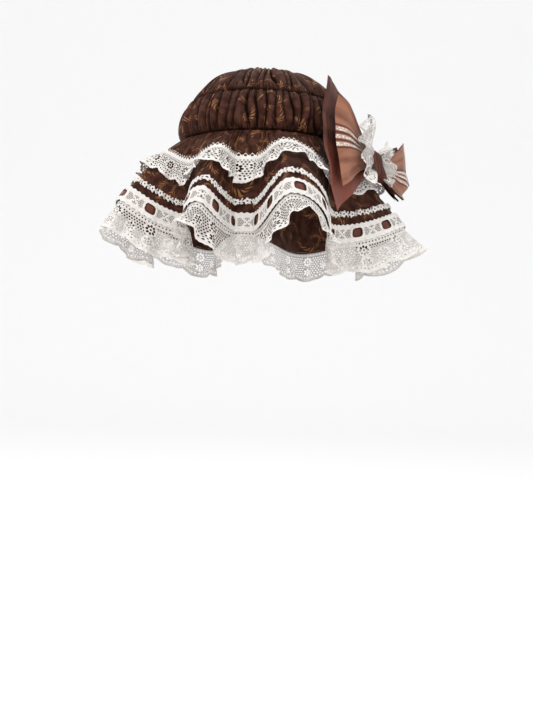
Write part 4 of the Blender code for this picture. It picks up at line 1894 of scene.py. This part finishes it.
    def frill_figure(self, x: Array, y: Array, loops: Loops) -> tuple[Array, Array]:
        """The pierced figure of the lace bow, and how shaded it is.

        Args:
            x: Distance along the lace.
            y: Distance across it.
            loops: The lace bow's sizes.

        Returns:
            Distance to the nearest hole or free edge, and the shade of its net.
        """
        pitch = self.repeat
        edge = np.minimum(y, loops.height - y)
        inner = edge - 0.0036 * (1.0 - np.abs(np.sin(np.pi * x / pitch)) ** 0.8)
        level, _, motif = Figure.compose(
            flowers=[
                (self.flower, centred(x - pitch / 2.0, pitch), edge - 0.0115),
                (self.middle_flower, centred(x, pitch), edge - 0.0225),
            ],
            holes=[inner, Figure.eyelets(x, inner - 0.0040, pitch / 6.0, 0.00090)],
            worked=[inner - 0.0056],
            net=Figure.net(x, y, pitch / 6.0, 0.00095),
            cords=[],
        )
        return level, 0.45 * ease(motif / 0.0008)

    def knot(self, seat: tuple[Array, Array], satin: Material) -> Object:
        """Makes the knot, a band with soft creases round the bows' middles.

        Args:
            seat: The seat on the cap.
            satin: Its finish.

        Returns:
            The knot's object.
        """
        bows = (self.dark, self.striped, self.frill)
        edge = np.array([-self.knot_half])
        half_up = max(float(loops.height_at(edge)[0]) for loops in bows) / 2.0
        half_up += self.wall + self.gap
        width = np.linspace(1.0, -1.0, 33)[:, None]
        angle = np.linspace(0.0, 2.0 * np.pi, 81)[None, :]
        cosine, sine = -np.cos(angle), np.sin(angle)
        round_up = np.sign(cosine) * np.abs(cosine) ** 0.7
        round_out = np.sign(sine) * np.abs(sine) ** 0.7
        draw = 1.0 - 0.10 * (1.0 - width**2)
        up = -half_up * round_up * draw
        along = width * self.knot_half * (1.0 + 0.08 * np.cos(2.0 * angle))
        near = self.seat_at(seat, along, up) + self.knot_wall / 2.0
        puff = self.puff * (1.0 - 0.5 * width**2)
        far = near + float(self.stack(edge, bows)[0]) + self.gap + puff
        crease = 0.0006 * np.cos(2.0 * np.pi * 2.3 * width + 1.2 * np.sin(angle * 2.0))
        far = far + crease * (1.0 - width**4)
        out = (near + far) / 2.0 - (far - near) / 2.0 * round_out
        points = self.place(np.stack([along + 0.0 * up, up, out], -1))
        points[:, -1] = points[:, 0]
        place = angle / (2.0 * np.pi) * 4.0 * half_up + 0.0 * width
        # The offset lays one side of the knot's band in the dark satin's painted reddish-brown highlight
        across = (1.0 - width) * self.knot_half + 0.066 + 0.0 * angle
        piece = ClothGrid(points, place, across).build("satin_knot", satin)
        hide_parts("bow_knot")
        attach(piece, "root")
        return piece


@dataclass(frozen=True)
class Studio:
    """A pale sweep, soft lights and the camera.

    Attributes:
        floor: The floor's height, well below the cap.
        camera_at: The camera's place.
        camera_right: The direction of the picture's right.
        camera_up: The direction of its top.
        focal: The focal length over the picture's longer side.
    """

    floor: float = -0.52
    camera_at: tuple[float, float, float] = (0.0, -1.0041, -0.1861)
    camera_right: tuple[float, float, float] = (0.99935, -0.00896, 0.03489)
    camera_up: tuple[float, float, float] = (-0.0347, 0.02097, 0.99918)
    focal: float = 1000.0 / 711.0

    def sweep(self) -> Object:
        """Makes a floor that curves up into a wall far behind.

        Returns:
            The sweep's object.
        """
        near, bend, radius, top, half = -6.0, 2.5, 1.2, 4.5, 7.0
        turns = np.linspace(0.0, np.pi / 2.0, 17)
        curve = [(bend + radius * math.sin(a), self.floor + radius * (1.0 - math.cos(a))) for a in turns]
        line = [(near, self.floor)] + curve + [(bend + radius, top)]
        points = np.array([[(x, y, z) for x in (-half, half)] for y, z in line])
        along = points[..., 0]
        nodes = Nodes("pale_paper")
        nodes.set(Specular_IOR_Level=0.1)
        grain = nodes.add("TexNoise", {"Vector": nodes.cloth(), "Scale": 900.0}).outputs[0]
        tint = nodes.blend(grain, (0.90, 0.90, 0.90, 1.0), (0.93, 0.93, 0.93, 1.0))
        nodes.finish(tint, 0.9, grain, 0.00005)
        grid = ClothGrid(points[:, ::-1], along, points[..., 1], edge=Edge.OPEN)
        paper = grid.build("paper_sweep", nodes.material)
        return paper

    def light(self, name: str, at: tuple[float, float, float], size: float, power: float) -> None:
        """Adds a square soft light that faces the cap.

        Args:
            name: The light's name.
            at: Its place.
            size: Its side, in metres.
            power: Its power, in watts.
        """
        lamp = bpy.data.lights.new(name, "AREA")
        lamp.energy = power
        lamp.size = size
        holder = bpy.data.objects.new(name, lamp)
        holder.location = at
        aim = Vector((0.0, 0.0, -0.03)) - Vector(at)
        holder.rotation_euler = aim.to_track_quat("-Z", "Y").to_euler()
        bpy.context.scene.collection.objects.link(holder)

    def build(self) -> None:
        """Makes the sweep, the lights, the sky and the camera."""
        self.sweep()
        self.light("key_softbox", (-0.9, -1.3, 1.1), 0.9, 12.0)
        self.light("fill_softbox", (1.3, -1.1, 0.5), 1.2, 4.0)
        self.light("top_softbox", (0.1, 0.4, 1.6), 1.4, 5.0)
        world = bpy.data.worlds.new("studio_air")
        world.use_nodes = True
        sky = world.node_tree.nodes["Background"]
        sky.inputs["Color"].default_value = (1.0, 1.0, 1.0, 1.0)
        sky.inputs["Strength"].default_value = 1.0
        bpy.context.scene.world = world
        bpy.context.scene.view_settings.view_transform = "Standard"
        lens = bpy.data.cameras.new("studio_camera")
        lens.sensor_fit = "AUTO"
        lens.sensor_width = 36.0
        lens.lens = 36.0 * self.focal
        lens.clip_start = 0.01
        camera = bpy.data.objects.new("studio_camera", lens)
        right, up = Vector(self.camera_right), Vector(self.camera_up)
        back = right.cross(up)
        turn = Matrix((right, up, back)).transposed().to_4x4()
        camera.matrix_world = Matrix.Translation(self.camera_at) @ turn
        bpy.context.scene.collection.objects.link(camera)
        bpy.context.scene.camera = camera


def report(piece: Object) -> None:
    """Logs a piece's name and how many triangles it has."""
    piece.data.calc_loop_triangles()
    LOG.info("%s: %d triangles", piece.name, len(piece.data.loop_triangles))


def main() -> None:
    """Builds and dresses every sub-assembly of the cap."""
    logging.basicConfig(level=logging.INFO, format="%(name)s %(message)s")
    jacquard = JacquardFinish().material()
    cotton = LaceFinish().material()
    satin = SatinFinish(
        "ribbon_satin", (0.130, 0.042, 0.026, 1.0), (0.060, 0.018, 0.012, 1.0)
    ).material()
    form = BrimForm()
    report(GatheredCrown().build(jacquard))
    report(FlutedBrim(form).build(jacquard))
    beading = HemBeading(form)
    report(beading.ribbon(satin))
    report(beading.lace(cotton))
    report(FlowerBraid(form).build(cotton))
    hem_lace = HemLace(
        form, "hem_lace", "lower_lace", top=0.1005, width=0.0325, scallop=0.005, repeat=0.0345,
        flat=(0.0325, 1.50), rests_on="fluted_brim",
    )
    report(hem_lace.build(cotton))
    crown_lace = CrownLace(
        form, "crown_lace", "upper_lace", top=0.030, width=0.030, scallop=0.004, repeat=0.0234,
        flat=(0.030, 1.00), rests_on="fluted_brim", columns=1800,
    )
    report(crown_lace.build(cotton))
    dark = PaintedSheenSatinFinish(
        "dark_satin", (0.092, 0.026, 0.017, 1.0), (0.042, 0.0115, 0.0080, 1.0)
    ).material()
    striped = StripedSatinFinish(
        "pale_satin", (0.300, 0.130, 0.080, 1.0), (0.165, 0.063, 0.037, 1.0)
    ).material()
    bow = SideBow()
    seat = bow.seat()
    report(bow.band(bow.dark, (), seat, dark))
    report(bow.band(bow.striped, (bow.dark,), seat, striped))
    report(bow.band(bow.frill, (bow.dark, bow.striped), seat, cotton))
    report(bow.knot(seat, dark))
    Studio().build()


if __name__ == "__main__":
    main()
